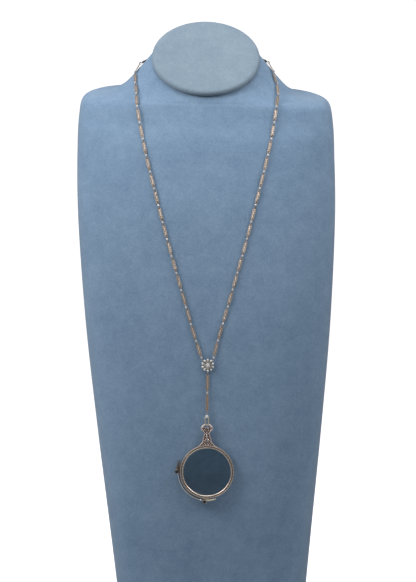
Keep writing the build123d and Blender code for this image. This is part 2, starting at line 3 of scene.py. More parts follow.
import bpy
import numpy as np
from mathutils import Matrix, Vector


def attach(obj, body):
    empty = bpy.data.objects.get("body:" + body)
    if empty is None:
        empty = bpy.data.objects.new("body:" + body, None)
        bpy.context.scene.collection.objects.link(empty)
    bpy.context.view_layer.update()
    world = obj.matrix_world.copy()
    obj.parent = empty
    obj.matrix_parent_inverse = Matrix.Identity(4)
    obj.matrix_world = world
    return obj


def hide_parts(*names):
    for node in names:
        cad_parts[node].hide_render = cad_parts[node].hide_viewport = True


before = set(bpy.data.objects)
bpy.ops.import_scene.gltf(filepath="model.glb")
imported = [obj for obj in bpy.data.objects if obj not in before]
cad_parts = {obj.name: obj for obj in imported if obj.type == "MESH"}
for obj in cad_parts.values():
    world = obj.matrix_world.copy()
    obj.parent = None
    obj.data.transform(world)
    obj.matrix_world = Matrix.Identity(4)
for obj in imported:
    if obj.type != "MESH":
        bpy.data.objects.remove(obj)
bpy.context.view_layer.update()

bl_info = {
    "name": "Magnifier pendant",
    "version": (1, 0, 0),
    "blender": (4, 5, 0),
    "location": "3D View > Sidebar > Pendant",
    "description": "Builds a folding magnifier pendant, its chain and its neck bust",
    "category": "Add Mesh",
}

MM = 0.001
TURN = 2 * np.pi
# Painted shade: near-black laid on the suede in the crevice between the cap and the cover
PAINTED_CREVICE_SHADE = (0.012, 0.02, 0.035, 1)
NAP_HEIGHT = 0.4 * MM
GRAIN_HEIGHT = 0.02 * MM

# Bust: one row a section, in millimetres, from the foot to the seat of the cap.
# columns: front depth, front height, back depth, back height, half width,
# roundness exponent of the front, roundness exponent of the back
BUST_SECTIONS = (
    (-38.0, 0.0, 51.5, 0.0, 66.0, 3.2, 5.0),
    (-44.5, 70.0, 52.0, 70.0, 73.2, 3.2, 5.0),
    (-47.0, 140.0, 51.5, 140.0, 80.7, 3.1, 5.0),
    (-44.5, 215.0, 50.0, 215.0, 87.9, 3.0, 4.8),
    (-36.0, 288.0, 47.5, 292.0, 92.2, 2.9, 4.4),
    (-25.0, 336.0, 45.0, 344.0, 92.1, 2.8, 3.8),
    (-17.8, 355.0, 43.4, 366.0, 91.0, 2.7, 3.3),
    (-14.8, 364.5, 42.4, 378.6, 88.6, 2.6, 3.0),
    (-13.9, 367.8, 42.0, 383.4, 81.5, 2.5, 2.8),
    (-13.3, 369.6, 41.8, 384.8, 70.0, 2.4, 2.6),
    (-12.9, 371.4, 41.3, 390.4, 60.0, 2.3, 2.4),
    (-12.4, 373.2, 40.2, 405.6, 50.0, 2.1, 2.2),
    (-12.0, 374.5, 38.6, 419.3, 42.0, 2.0, 2.0),
    (-11.7, 375.4, 36.9, 426.3, 37.7, 2.0, 2.0),
)
SECTION_POINTS = 20
STEPS_PER_SECTION = 12
POINTS_AROUND = 240
LEAN = 0.0131
LEAN_TOP = 330.0
LEAN_SHIFT = -0.77
SHOULDER_TILT = 1.3
TILT_START = 288.0
TILT_END = 366.0
CAP_HALF_WIDTH = 38.7
CAP_HALF_LENGTH = 36.2

# Ways to turn a shape: where its x, y and z point
UPRIGHT = ((1, 0, 0), (0, 0, 1), (0, -1, 0))
ALONG_X = ((0, 1, 0), (0, 0, 1), (1, 0, 0))

# Chain: flat bars with an eye near each end, upright links of round wire
BAR_THICKNESS = 0.26
BAR_WIDEST = 1.12
BAR_EYE_RADIUS = 0.55
BAR_LEAST_SPAN = 7.0
LINK_LEAST_SPAN = 3.6
LINK_RADIUS = 0.54
LINK_WIRE = 0.12
COLLET_RADIUS = 0.9
EYE_RING_RADIUS = 0.42
EYE_WIRE = 0.13

# Pendant plane: x across, y up from the lens's middle, z forward from the back
LENS_HEIGHT = 113.3
PENDANT_BACK = -47.5
RIM_OUTER = 18.8
RIM_INNER = 16.7
RIDGE_HEIGHT = 2.98
LENS_RADIUS = 17.2
BRIDGE_RADIUS = 20.0
HUB_RADIUS = 1.25
SIDE_PIN = (-21.1, 0.3)
BOTTOM_PIN = (-1.7, -20.9)
SWING_HEIGHT = 32.9
SWING_FORWARD = 1.5
CLIP_LENGTH = 5.3
CLIP_HALF_WIDTH = 1.1
CLIP_CORNER = 0.75
FLORET_X = 0.55
FLORET_HEIGHT = 188.1
FLORET_EYE_ANGLES = (43.0, 137.0, -90.0)
PETALS = 10
PETAL_RING = 3.75
# columns of both lists: across, height above the lens's middle, radius
FINIAL_GAPS = (
    (2.35, 30.4, 0.6), (-2.35, 30.4, 0.6), (0, 29.6, 0.6), (1.0, 28.2, 0.45), (-1.0, 28.2, 0.45),
    (1.35, 24.6, 0.5), (-1.35, 24.6, 0.5), (1.9, 22.9, 0.45), (-1.9, 22.9, 0.45),
)
FINIAL_STONES = (
    (0, 22.3, 1.0), (0, 27.0, 0.65), (3.2, 31.2, 0.5), (-3.2, 31.2, 0.5), (0, 25.0, 0.45),
)
# columns: half width, height of the edge, height of the middle
FINIAL_FACE = (
    (9.05, 16.1, 18.25), (7.3, 17.4, 18.8), (5.6, 18.8, 19.5), (4.2, 20.1, 20.4), (3.25, 21.4, 21.4),
    (3.15, 22.6, 22.6), (2.95, 23.9, 23.9), (2.4, 25.1, 25.1), (2.05, 26.2, 26.2), (2.15, 27.3, 27.3),
    (2.6, 28.3, 28.3), (3.3, 29.3, 29.2), (3.7, 30.2, 30.0), (3.2, 31.0, 30.9), (2.2, 31.4, 31.25),
)

# Studio: square lights of one size in metres
LIGHT_SIZE = 0.36
# columns: name, place, height it is aimed at, watts
LIGHTS = (
    ("left_box", (-0.62, -0.30, 0.74), 0.36, 5.4),
    ("right_box", (0.62, -0.28, 0.72), 0.36, 3.1),
    ("top_box", (0.0, -0.22, 0.92), 0.38, 1.9),
)


# Shapes as arrays

class Shape:
    """Points, faces of three or four corners, depth of recess and finish.

    A triangle's fourth corner is -1. The recess is one number a point, from 0 on top to 1 deep down.
    """

    def __init__(self, points, faces, recess=None, finish=0):
        self.points = np.asarray(points, float).reshape(-1, 3)
        self.faces = np.asarray(faces, int).reshape(-1, 4)
        count = len(self.points)
        self.recess = np.broadcast_to(0.0 if recess is None else recess, count).astype(float)
        self.finish = np.full(len(self.faces), finish)


def join(shapes):
    """One shape of several: points in a row, corner numbers shifted by the points before."""
    shift, faces = 0, []
    for shape in shapes:
        faces.append(np.where(shape.faces < 0, -1, shape.faces + shift))
        shift += len(shape.points)
    whole = Shape(np.concatenate([s.points for s in shapes]), np.concatenate(faces))
    whole.recess = np.concatenate([s.recess for s in shapes])
    whole.finish = np.concatenate([s.finish for s in shapes])
    return whole


def around(count, twist=0.0):
    """Angles of evenly spaced points round a circle, turned by a share of one step."""
    return (np.arange(count) + twist) * TURN / count


def polar(radius, angle, height):
    """Points (r cos a, r sin a, h), where each of the three is a number or an array."""
    radius, angle, height = np.broadcast_arrays(radius, angle, height)
    return np.stack([radius * np.cos(angle), radius * np.sin(angle), height], -1)


def smooth_table(table, steps):
    """Rows between the table's rows on a cubic through four neighbours, the ends doubled."""
    table = np.asarray(table, float)
    padded = np.vstack([table[:1], table, table[-1:]])
    t = np.linspace(0, 1, steps, endpoint=False)[:, None, None]
    a, b, c, d = (padded[i:i + len(table) - 1] for i in range(4))
    bend, twist = 2 * a - 5 * b + 4 * c - d, 3 * b - a - 3 * c + d
    rows = 0.5 * (2 * b + (c - a) * t + bend * t**2 + twist * t**3)
    rows = rows.transpose(1, 0, 2).reshape(-1, table.shape[1])
    return np.vstack([rows, table[-1:]])


def skin(grid, recess=None, ring=False, first=None, last=None, finish=0):
    """Surface through a grid of points: each row closes round on itself.

    ring joins the last row to the first. first and last are the points that close the ends.
    """
    grid = np.asarray(grid, float)
    rows, columns = grid.shape[:2]
    i, j = np.meshgrid(np.arange(rows if ring else rows - 1), np.arange(columns), indexing="ij")
    k, below = (j + 1) % columns, (i + 1) % rows
    quads = np.stack([i * columns + j, i * columns + k, below * columns + k, below * columns + j], -1)
    points, faces = [grid.reshape(-1, 3)], [quads.reshape(-1, 4)]
    depth = np.zeros((rows, columns)) if recess is None else np.broadcast_to(recess, (rows, columns))
    depths = [depth.ravel()]
    here = np.arange(columns)
    onward = (here + 1) % columns
    count = rows * columns
    for spot, row, turned in ((first, 0, True), (last, rows - 1, False)):
        if spot is None:
            continue
        a, b = (onward, here) if turned else (here, onward)
        fan = np.stack([row * columns + a, row * columns + b, 0 * here + count, 0 * here - 1], -1)
        points.append(np.reshape(spot, (1, 3)))
        faces.append(fan)
        depths.append(depth[row].mean(keepdims=True))
        count += 1
    return Shape(np.concatenate(points), np.concatenate(faces), np.concatenate(depths), finish)


def lathe(profile, segments, recess=None, finish=0):
    """Profile of (radius, height) turned about z. A radius of 0 at an end is one point."""
    profile = np.asarray(profile, float)
    depth = np.broadcast_to(0.0 if recess is None else recess, len(profile)).astype(float)
    first = (0, 0, profile[0, 1]) if profile[0, 0] == 0 else None
    last = (0, 0, profile[-1, 1]) if profile[-1, 0] == 0 else None
    keep = profile[:, 0] > 0
    profile, depth = profile[keep], depth[keep]
    grid = polar(profile[:, :1], around(segments), profile[:, 1:])
    return skin(grid, depth[:, None], first is None and last is None, first, last, finish)


def sweep(path, outlines, recess=None, closed=True, up=(0, 0, 1)):
    """Outline of (side, up) points carried along a path: point = path + side * n + up * b.

    n and b stand square to the path, b as near to the given up as it can be.
    """
    path = np.asarray(path, float)
    if closed:
        ahead, behind = np.roll(path, -1, 0), np.roll(path, 1, 0)
    else:
        ahead = np.vstack([path[1:], path[-1:]])
        behind = np.vstack([path[:1], path[:-1]])
    along = ahead - behind
    along /= np.linalg.norm(along, axis=1, keepdims=True)
    side = np.cross(np.broadcast_to(up, along.shape), along)
    side /= np.linalg.norm(side, axis=1, keepdims=True)
    rise = np.cross(along, side)
    outlines = np.broadcast_to(outlines, (len(path),) + np.shape(outlines)[-2:])
    grid = path[:, None] + outlines[..., :1] * side[:, None] + outlines[..., 1:] * rise[:, None]
    if closed:
        return skin(grid, recess, True)
    return skin(grid, recess, False, path[0], path[-1])


def circle(radius, sides):
    """Outline of a round wire, as (side, up) points."""
    return polar(radius, around(sides), 0)[:, :2]


def oval_wire(girth, thickness, sides):
    """Outlines of an oval wire, one for each half width in girth, all of one half thickness."""
    return circle(1, sides)[None] * np.stack([girth, 0 * girth + thickness], -1)[:, None]


def bead(radius, sides=8, rows=5):
    """Ball: rings of radius r sin(a) at height r cos(a)."""
    slope = np.linspace(np.pi, 0, rows + 2)
    profile = np.stack([radius * np.sin(slope), radius * np.cos(slope)], -1)
    profile[[0, -1], 0] = 0
    return lathe(profile, sides)


def copies(shape, frames):
    """Copies of a shape: point = origin + x * X + y * Y + z * Z, one set of axes a copy."""
    frames = np.asarray(frames, float)
    points = np.einsum("pj,kij->kpi", shape.points, frames[:, :3, :3]) + frames[:, None, :3, 3]
    count = len(frames)
    shift = np.arange(count)[:, None, None] * len(shape.points)
    faces = np.where(shape.faces < 0, -1, shape.faces + shift)
    whole = Shape(points.reshape(-1, 3), faces.reshape(-1, 4), np.tile(shape.recess, count))
    whole.finish = np.tile(shape.finish, count)
    return whole


def frames_at(origins, x_axis=None, y_axis=None, z_axis=None):
    """Sets of axes at the origins; two given axes, the third square to both."""
    origins = np.asarray(origins, float).reshape(-1, 3)
    frames = np.zeros((len(origins), 4, 4))
    frames[:, 3, 3] = 1
    frames[:, :3, 3] = origins
    x_axis = np.cross(y_axis, z_axis) if x_axis is None else x_axis
    z_axis = np.cross(x_axis, y_axis) if z_axis is None else z_axis
    y_axis = np.cross(z_axis, x_axis) if y_axis is None else y_axis
    for column, axis in enumerate((x_axis, y_axis, z_axis)):
        frames[:, :3, column] = axis
    return frames


def moved(shape, offset, axes=None):
    """The shape turned to the axes and moved by the offset."""
    frame_matrix = np.eye(4)
    if axes is not None:
        frame_matrix[:3, :3] = np.asarray(axes, float).T
    frame_matrix[:3, 3] = offset
    return copies(shape, [frame_matrix])


def on_pendant(shape):
    """From the pendant's plane to the row frame: (x, back - z, lens height + y)."""
    return moved(shape, (0, PENDANT_BACK, LENS_HEIGHT), UPRIGHT)


def gem(radius, sides=8, table=0.56, crown=0.34, depth=0.5):
    """Cut stone: table, star and kite facets, girdle and pavilion down to a point."""
    # columns: radius, height, share of a step that the ring is turned by
    rings = (
        (0.06, -depth, 0.0), (0.62, -depth * 0.42, 0.5), (1.0, -0.03, 0.0), (1.0, 0.02, 0.0),
        (0.83, crown * 0.55, 0.5), (table, crown, 0.0),
    )
    grid = np.array([polar(share, around(sides, twist), height) * radius for share, height, twist in rings])
    j = np.arange(sides)
    k = (j + 1) % sides
    none = np.full(sides, -1)
    faces = []
    for row, twist in enumerate((0.5, -0.5, 0.0, 0.5, -0.5)):
        low, high = row * sides, (row + 1) * sides
        if twist == 0:
            faces.append(np.stack([low + j, low + k, high + k, high + j], -1))
        elif twist > 0:
            faces.append(np.stack([low + j, low + k, high + j, none], -1))
            faces.append(np.stack([low + k, high + k, high + j, none], -1))
        else:
            faces.append(np.stack([low + j, high + k, high + j, none], -1))
            faces.append(np.stack([low + j, low + k, high + k, none], -1))
    top, bottom = 5 * sides, 0
    count = 6 * sides
    faces.append(np.stack([top + j, top + k, np.full(sides, count), none], -1))
    faces.append(np.stack([bottom + k, bottom + j, np.full(sides, count + 1), none], -1))
    ends = np.array([(0, 0, crown), (0, 0, -depth)]) * radius
    return Shape(np.concatenate([grid.reshape(-1, 3), ends]), np.concatenate(faces))


def new_piece(name, shape, look, body, flat=False, sharp=None):
    """Mesh object of a shape in millimetres, on its body, with its recess attribute.

    look is the name of its material, or a pair of names. sharp is the angle that an edge is kept from.
    """
    triangles = shape.faces[:, 3] < 0
    totals = np.where(triangles, 3, 4)
    corners = shape.faces.ravel()
    corners = corners[corners >= 0]
    mesh = bpy.data.meshes.new(name)
    mesh.vertices.add(len(shape.points))
    mesh.vertices.foreach_set("co", (shape.points * MM).astype(np.float32).ravel())
    mesh.loops.add(len(corners))
    mesh.loops.foreach_set("vertex_index", corners.astype(np.int32))
    mesh.polygons.add(len(totals))
    mesh.polygons.foreach_set("loop_start", (np.cumsum(totals) - totals).astype(np.int32))
    for name_of_look in (look,) if isinstance(look, str) else look:
        mesh.materials.append(bpy.data.materials[name_of_look])
    mesh.polygons.foreach_set("material_index", shape.finish.astype(np.int32))
    mesh.polygons.foreach_set("use_smooth", np.full(len(totals), not flat))
    mesh.update(calc_edges=True)
    if mesh.validate():
        raise RuntimeError(f"{name} has faulty faces")
    if sharp:
        mesh.set_sharp_from_angle(angle=np.radians(sharp))
    recess = mesh.attributes.new("recess", "FLOAT", "POINT")
    recess.data.foreach_set("value", shape.recess.astype(np.float32))
    piece = bpy.data.objects.new(name, mesh)
    bpy.context.scene.collection.objects.link(piece)
    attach(piece, body)
    return piece


# Reading the solids

def loose_parts(node):
    """The node's separate closed parts, each as its own points in millimetres.

    Points at one place are one, and every triangle passes on its lowest label until none changes.
    """
    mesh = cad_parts[node].data
    places = np.empty(len(mesh.vertices) * 3, np.float32)
    mesh.vertices.foreach_get("co", places)
    corners = np.empty(len(mesh.loops), np.int32)
    mesh.loops.foreach_get("vertex_index", corners)
    spots, same = np.unique(np.round(places.reshape(-1, 3) / MM, 3), axis=0, return_inverse=True)
    triangles = same.ravel()[corners].reshape(-1, 3)
    label = np.arange(len(spots))
    while True:
        lower = label.copy()
        np.minimum.at(lower, triangles, label[triangles].min(axis=1, keepdims=True))
        lower = lower[lower]
        if np.array_equal(lower, label):
            break
        label = lower
    return [spots[label == k] for k in np.unique(label)]


def laid_along(points, along, across, out, rise):
    """Axes in the middle of a part, a rise above its lowest point, and the part's length."""
    spread = [points @ axis for axis in (along, across, out)]
    centre = sum(axis * (s.min() + s.max()) / 2 for axis, s in zip((along, across), spread))
    centre = centre + out * (spread[2].min() + rise)
    return frames_at(centre, along, across, out)[0], spread[0].max() - spread[0].min()


def bar_frames(parts):
    """Axes of flat bars, x the longest way and z out on the ridge's side, and the lengths between eyes."""
    frames, lengths = [], []
    for points in parts:
        _, axes = np.linalg.eigh(np.cov((points - points.mean(0)).T))
        along, across = axes[:, 2], axes[:, 1]
        out = np.cross(along, across)
        heights = points @ out
        if heights.max() + heights.min() < 2 * np.median(heights):
            out, across = -out, -across
        placed, length = laid_along(points, along, across, out, BAR_THICKNESS / 2)
        frames.append(placed)
        lengths.append(length - 2 * BAR_EYE_RADIUS)
    return np.array(frames), np.array(lengths)


def link_frames(parts, bars):
    """Axes of the upright links: x the longest way, z the mean way out of the two nearest bars."""
    frames, lengths = [], []
    for points in parts:
        _, axes = np.linalg.eigh(np.cov((points - points.mean(0)).T))
        rough = (points.min(0) + points.max(0)) / 2
        near = np.argsort(np.linalg.norm(bars[:, :3, 3] - rough, axis=1))[:2]
        along = bars[near[0], :3, 3] - rough
        along = axes[:, np.argmax(np.abs(axes.T @ (along / np.linalg.norm(along))))]
        out = bars[near, :3, 2].sum(0)
        out -= along * (out @ along)
        out /= np.linalg.norm(out)
        placed, length = laid_along(points, along, np.cross(out, along), out, LINK_RADIUS + LINK_WIRE)
        frames.append(placed)
        lengths.append(length)
    return np.array(frames), np.array(lengths)


# Finishes

def node_group(name, inputs, outputs):
    """Empty shader group with its named sockets, and its first and last node."""
    group = bpy.data.node_groups.new(name, "ShaderNodeTree")
    for label, kind, value in inputs:
        socket = group.interface.new_socket(label, in_out="INPUT", socket_type=f"NodeSocket{kind}")
        if value is not None:
            socket.default_value = value
    for label, kind in outputs:
        group.interface.new_socket(label, in_out="OUTPUT", socket_type=f"NodeSocket{kind}")
    return group, group.nodes.new("NodeGroupInput"), group.nodes.new("NodeGroupOutput")


def noise(tree, place, scale, detail=3.0, rough=0.6):
    """Noise texture at a place; its scale is a number or a socket."""
    node = tree.nodes.new("ShaderNodeTexNoise")
    node.inputs["Detail"].default_value = detail
    node.inputs["Roughness"].default_value = rough
    tree.links.new(place, node.inputs["Vector"])
    if hasattr(scale, "is_linked"):
        tree.links.new(scale, node.inputs["Scale"])
    else:
        node.inputs["Scale"].default_value = scale
    return node.outputs["Fac"]


def math_of(tree, kind, a, b, c=None):
    """Math node of two or three numbers or sockets."""
    node = tree.nodes.new("ShaderNodeMath")
    node.operation = kind
    for socket, value in zip(node.inputs, (a, b, c)):
        if value is None:
            continue
        if hasattr(value, "is_linked"):
            tree.links.new(value, socket)
        else:
            socket.default_value = value
    return node.outputs[0]


def blend_colours(tree, share, low, high, kind="MIX"):
    """Colour between two, or one laid over the other."""
    node = tree.nodes.new("ShaderNodeMix")
    node.data_type = "RGBA"
    node.blend_type = kind
    for socket, value in ((node.inputs[0], share), (node.inputs[6], low), (node.inputs[7], high)):
        if hasattr(value, "is_linked"):
            tree.links.new(value, socket)
        else:
            socket.default_value = value
    return node.outputs[2]


def in_range(tree, value, low, high, out_low=0.0, out_high=1.0):
    """Value stretched from one range to another, and held inside the new one."""
    node = tree.nodes.new("ShaderNodeMapRange")
    tree.links.new(value, node.inputs["Value"])
    limits = {"From Min": low, "From Max": high, "To Min": out_low, "To Max": out_high}
    for label, number in limits.items():
        node.inputs[label].default_value = number
    return node.outputs["Result"]


def suede_group():
    """Suede: broad clouds, brushed patches and fine nap in colour, roughness and height, and painted shade
    where the recess is.
    """
    group, start, end = node_group(
        "suede_nap",
        (("Place", "Vector", None), ("Colour", "Color", (0.2, 0.3, 0.4, 1)),
         ("Light nap", "Color", (0.3, 0.4, 0.5, 1)), ("Nap scale", "Float", 800.0), ("Mottle", "Float", 0.8),
         ("Recess", "Float", 0.0)),
        (("Colour", "Color"), ("Roughness", "Float"), ("Height", "Float")),
    )
    place = start.outputs["Place"]
    clouds = in_range(group, noise(group, place, 22.0, 4.0), 0.35, 0.65)
    patches = in_range(group, noise(group, place, 120.0, 5.0, 0.7), 0.3, 0.7)
    nap = noise(group, place, start.outputs["Nap scale"], 4.0, 0.75)
    mottle = math_of(group, "MULTIPLY_ADD", clouds, 0.22, math_of(group, "MULTIPLY", patches, 0.33))
    mottle = math_of(group, "MULTIPLY_ADD", in_range(group, nap, 0.35, 0.65), 0.45, mottle)
    share = math_of(group, "MULTIPLY", mottle, start.outputs["Mottle"])
    colour = blend_colours(group, share, start.outputs["Colour"], start.outputs["Light nap"])
    # Painted shade: the recess blends the colour towards near-black in the crevice under the cap
    crevice_shade = math_of(group, "MULTIPLY", start.outputs["Recess"], 0.85)
    colour = blend_colours(group, crevice_shade, colour, PAINTED_CREVICE_SHADE)
    group.links.new(colour, end.inputs["Colour"])
    group.links.new(in_range(group, mottle, 0.0, 1.0, 0.82, 0.98), end.inputs["Roughness"])
    height = math_of(group, "MULTIPLY_ADD", nap, 0.7, math_of(group, "MULTIPLY", patches, 0.3))
    group.links.new(height, end.inputs["Height"])
    return group


def tarnish_and_shade_group():
    """Old silver: dark tarnish in blotches, the recess darkened as tarnish and painted shade, bright worn
    metal between, fine scratches.
    """
    group, start, end = node_group(
        "silver_tarnish_and_shade",
        (("Place", "Vector", None), ("Recess", "Float", 0.0), ("Bright", "Color", (0.7, 0.65, 0.6, 1)),
         ("Dark", "Color", (0.1, 0.07, 0.06, 1)), ("Tarnish", "Float", 0.4),
         ("Grain scale", "Float", 2500.0)),
        (("Colour", "Color"), ("Roughness", "Float"), ("Height", "Float")),
    )
    place = start.outputs["Place"]
    blotches = in_range(group, noise(group, place, 600.0, 4.0, 0.65), 0.42, 0.68)
    grain = noise(group, place, start.outputs["Grain scale"], 3.0, 0.6)
    dark = math_of(group, "MULTIPLY", blotches, start.outputs["Tarnish"])
    # The recess darkens as tarnish in hollows and as painted shade in gaps, holes, seats and the clip's inner
    # side
    dark = math_of(group, "MAXIMUM", dark, start.outputs["Recess"])
    dark = math_of(group, "MULTIPLY", dark, in_range(group, grain, 0.25, 0.6, 0.7, 1.0))
    colour = blend_colours(group, dark, start.outputs["Bright"], start.outputs["Dark"])
    group.links.new(colour, end.inputs["Colour"])
    group.links.new(in_range(group, dark, 0.0, 1.0, 0.3, 0.65), end.inputs["Roughness"])
    group.links.new(grain, end.inputs["Height"])
    return group


def new_material(name):
    """New material with its node tree and its Principled shader."""
    material = bpy.data.materials.new(name)
    material.use_nodes = True
    return material, material.node_tree, material.node_tree.nodes["Principled BSDF"]


def shaded(name, group, values, height, **constants):
    """Material: a group's colour, roughness and height into one Principled shader."""
    _, tree, shader = new_material(name)
    place = tree.nodes.new("ShaderNodeTexCoord").outputs["Object"]
    node = tree.nodes.new("ShaderNodeGroup")
    node.node_tree = group
    tree.links.new(place, node.inputs["Place"])
    for label, value in values.items():
        node.inputs[label].default_value = value
    if "Recess" in node.inputs:
        depth = tree.nodes.new("ShaderNodeAttribute")
        depth.attribute_name = "recess"
        tree.links.new(depth.outputs["Fac"], node.inputs["Recess"])
    tree.links.new(node.outputs["Colour"], shader.inputs["Base Color"])
    tree.links.new(node.outputs["Roughness"], shader.inputs["Roughness"])
    bump = tree.nodes.new("ShaderNodeBump")
    bump.inputs["Distance"].default_value = height
    bump.inputs["Strength"].default_value = 0.5
    tree.links.new(node.outputs["Height"], bump.inputs["Height"])
    tree.links.new(bump.outputs["Normal"], shader.inputs["Normal"])
    for label, value in constants.items():
        shader.inputs[label.replace("_", " ")].default_value = value


def clear_stone(name, tint, ior, rough=0.03, clear=1.0):
    """Glass or cut stone: faint haze in its colour and roughness, the shader's own transmission."""
    _, tree, shader = new_material(name)
    place = tree.nodes.new("ShaderNodeTexCoord").outputs["Object"]
    haze = noise(tree, place, 260.0, 3.0)
    deep = tuple(0.95 * c for c in tint[:3]) + (1,)
    colour = blend_colours(tree, in_range(tree, haze, 0.35, 0.65), tint, deep)
    tree.links.new(colour, shader.inputs["Base Color"])
    tree.links.new(in_range(tree, haze, 0.3, 0.7, rough, rough + 0.03), shader.inputs["Roughness"])
    shader.inputs["IOR"].default_value = ior
    shader.inputs["Transmission Weight"].default_value = clear


def finishes(sizes):
    """Make every finish of the scene once. The pieces look them up by name."""
    if "suede_bust" in bpy.data.materials:
        return
    suede, tarnish_and_shade = suede_group(), tarnish_and_shade_group()
    nap = {"Sheen_Weight": 0.25, "Sheen_Roughness": 0.45, "Specular_IOR_Level": 0.15}
    suedes = (
        ("suede_bust", sizes.bust_colour, sizes.bust_light), ("suede_cap", sizes.cap_colour, sizes.cap_light),
    )
    for name, low, high in suedes:
        shaded(name, suede, {"Colour": (*low, 1), "Light nap": (*high, 1)}, NAP_HEIGHT, **nap)
    # columns: name, bright metal, dark of tarnish and painted shade, share of tarnish, metallic
    metals = (
        ("silver_old", (0.55, 0.47, 0.41, 1), (0.08, 0.055, 0.04, 1), 0.4, 0.8),
        ("silver_rim", (0.80, 0.69, 0.60, 1), (0.05, 0.032, 0.025, 1), 0.22, 0.75),
        ("silver_golden", (0.56, 0.44, 0.35, 1), (0.12, 0.075, 0.05, 1), 0.4, 0.8),
        ("silver_finial", (0.84, 0.70, 0.64, 1), (0.05, 0.035, 0.035, 1), 0.2, 0.7),
        ("silver_clip", (0.84, 0.72, 0.52, 1), (0.012, 0.01, 0.01, 1), 0.15, 0.8),
        ("silver_bright", (0.95, 0.93, 0.90, 1), (0.03, 0.025, 0.025, 1), 0.12, 0.7),
    )
    for name, bright, dark, tarnish, metal in metals:
        looks = {"Bright": bright, "Dark": dark, "Tarnish": tarnish}
        shaded(name, tarnish_and_shade, looks, GRAIN_HEIGHT, Metallic=metal)
    clear_stone("glass_lens", (0.74, 0.91, 1.0, 1), 1.5)
    clear_stone("stone_small", (0.93, 0.92, 0.95, 1), 1.75)
    clear_stone("stone_spark", (0.92, 0.88, 0.85, 1), 1.8, 0.04, 0.2)
    clear_stone("stone_night", (0.012, 0.012, 0.016, 1), 1.6, 0.12, 0.0)
    clear_stone("stone_red", (0.035, 0.014, 0.010, 1), 1.6, 0.12, 0.0)


# Bust

def loop_spline(points, count):
    """Closed smooth curve through the points, by chord length, at even shares of each span.

    Cubic with equal slopes and bends at each point: the slopes solve one cyclic set of equations.
    """
    size = len(points)
    steps = np.linalg.norm(np.roll(points, -1, 0) - points, axis=1)
    before = np.roll(steps, 1)
    matrix = np.zeros((size, size))
    index = np.arange(size)
    matrix[index, index] = 2 * (steps + before)
    matrix[index, (index - 1) % size] += steps
    matrix[index, (index + 1) % size] += before
    rise = (np.roll(points, -1, 0) - points) / steps[:, None]
    right = 3 * (rise * before[:, None] + np.roll(rise, 1, 0) * steps[:, None])
    slopes = np.linalg.solve(matrix, right)
    share = np.arange(count) * size / count
    span = np.minimum(share.astype(int), size - 1)
    t = (share - span)[:, None]
    onward = (span + 1) % size
    width = steps[span][:, None]
    return (
        points[span] * (2 * t**3 - 3 * t**2 + 1) + slopes[span] * width * (t**3 - 2 * t**2 + t)
        + points[onward] * (3 * t**2 - 2 * t**3) + slopes[onward] * width * (t**3 - t**2)
    )


def section_axes(row):
    """Middle, the way across, the way back and half the length of one section."""
    front_y, front_z, back_y, back_z = row[:4]
    height = (front_z + back_z) / 2
    length = np.hypot(back_y - front_y, back_z - front_z) / 2
    slope = np.arctan2(back_z - front_z, back_y - front_y)
    tilt = np.radians(SHOULDER_TILT) * np.clip((height - TILT_START) / (TILT_END - TILT_START), 0, 1)
    middle = np.array([LEAN_SHIFT + LEAN * max(LEAN_TOP - height, 0), (front_y + back_y) / 2, height])
    across = np.array([np.cos(tilt), 0, -np.sin(tilt)])
    back = np.array([0, np.cos(slope), np.sin(slope)])
    out = np.cross(across, back)
    out /= np.linalg.norm(out)
    return middle, across, np.cross(out, across), out, length


def bust_outline(row):
    """One section: a rounded outline, squarer behind, as a smooth closed curve."""
    half_width, front_power, back_power = row[4:]
    middle, across, back, _, length = section_axes(row)
    turn = around(SECTION_POINTS)
    cosine, sine = np.cos(turn).round(12), np.sin(turn).round(12)
    power = 2 / np.where(sine < 0, front_power, back_power)
    flat = np.stack([half_width * np.sign(cosine) * np.abs(cosine) ** power,
                     length * np.sign(sine) * np.abs(sine) ** power], -1)
    curve = loop_spline(flat, POINTS_AROUND)
    return middle + curve[:, :1] * across + curve[:, 1:] * back


def pulled_in(outline, inward, shift):
    """The outline drawn towards its middle by a distance, and moved."""
    middle = outline.mean(0)
    away = outline - middle
    reach = np.linalg.norm(away, axis=1, keepdims=True)
    return middle + away * (1 - inward / reach) + shift


def bust_cover():
    """Suede cover: the sections stacked, a rounded hem at the foot, a rolled edge under the cap with painted
    shade in the crevice.
    """
    rows = [bust_outline(row) for row in smooth_table(BUST_SECTIONS, STEPS_PER_SECTION)]
    turns = np.linspace(0, np.pi / 2, 5)[1:]
    foot, top = rows[0], rows[-1]
    hem = 2.5
    rows[0] = foot + (0, 0, hem)
    low = [pulled_in(foot, hem * (1 - np.cos(a)), (0, 0, hem * (1 - np.sin(a)))) for a in turns]
    out = section_axes(BUST_SECTIONS[-1])[3]
    roll = 1.3
    high = [pulled_in(top, roll * (1 - np.cos(a)), out * roll * (np.sin(a) - 1)) for a in turns]
    inner = [pulled_in(foot, share, 0 * out) for share in (20, 35)]
    grid = np.array(inner[::-1] + low[::-1] + rows[:-2] + high)
    # Painted shade: the rolled edge under the cap darkened as the crevice's shade
    crevice_shade = np.zeros((len(grid), 1))
    crevice_shade[-3:, 0] = (0.5, 1.0, 1.0)
    return skin(grid, crevice_shade, first=foot.mean(0), last=high[-1].mean(0))


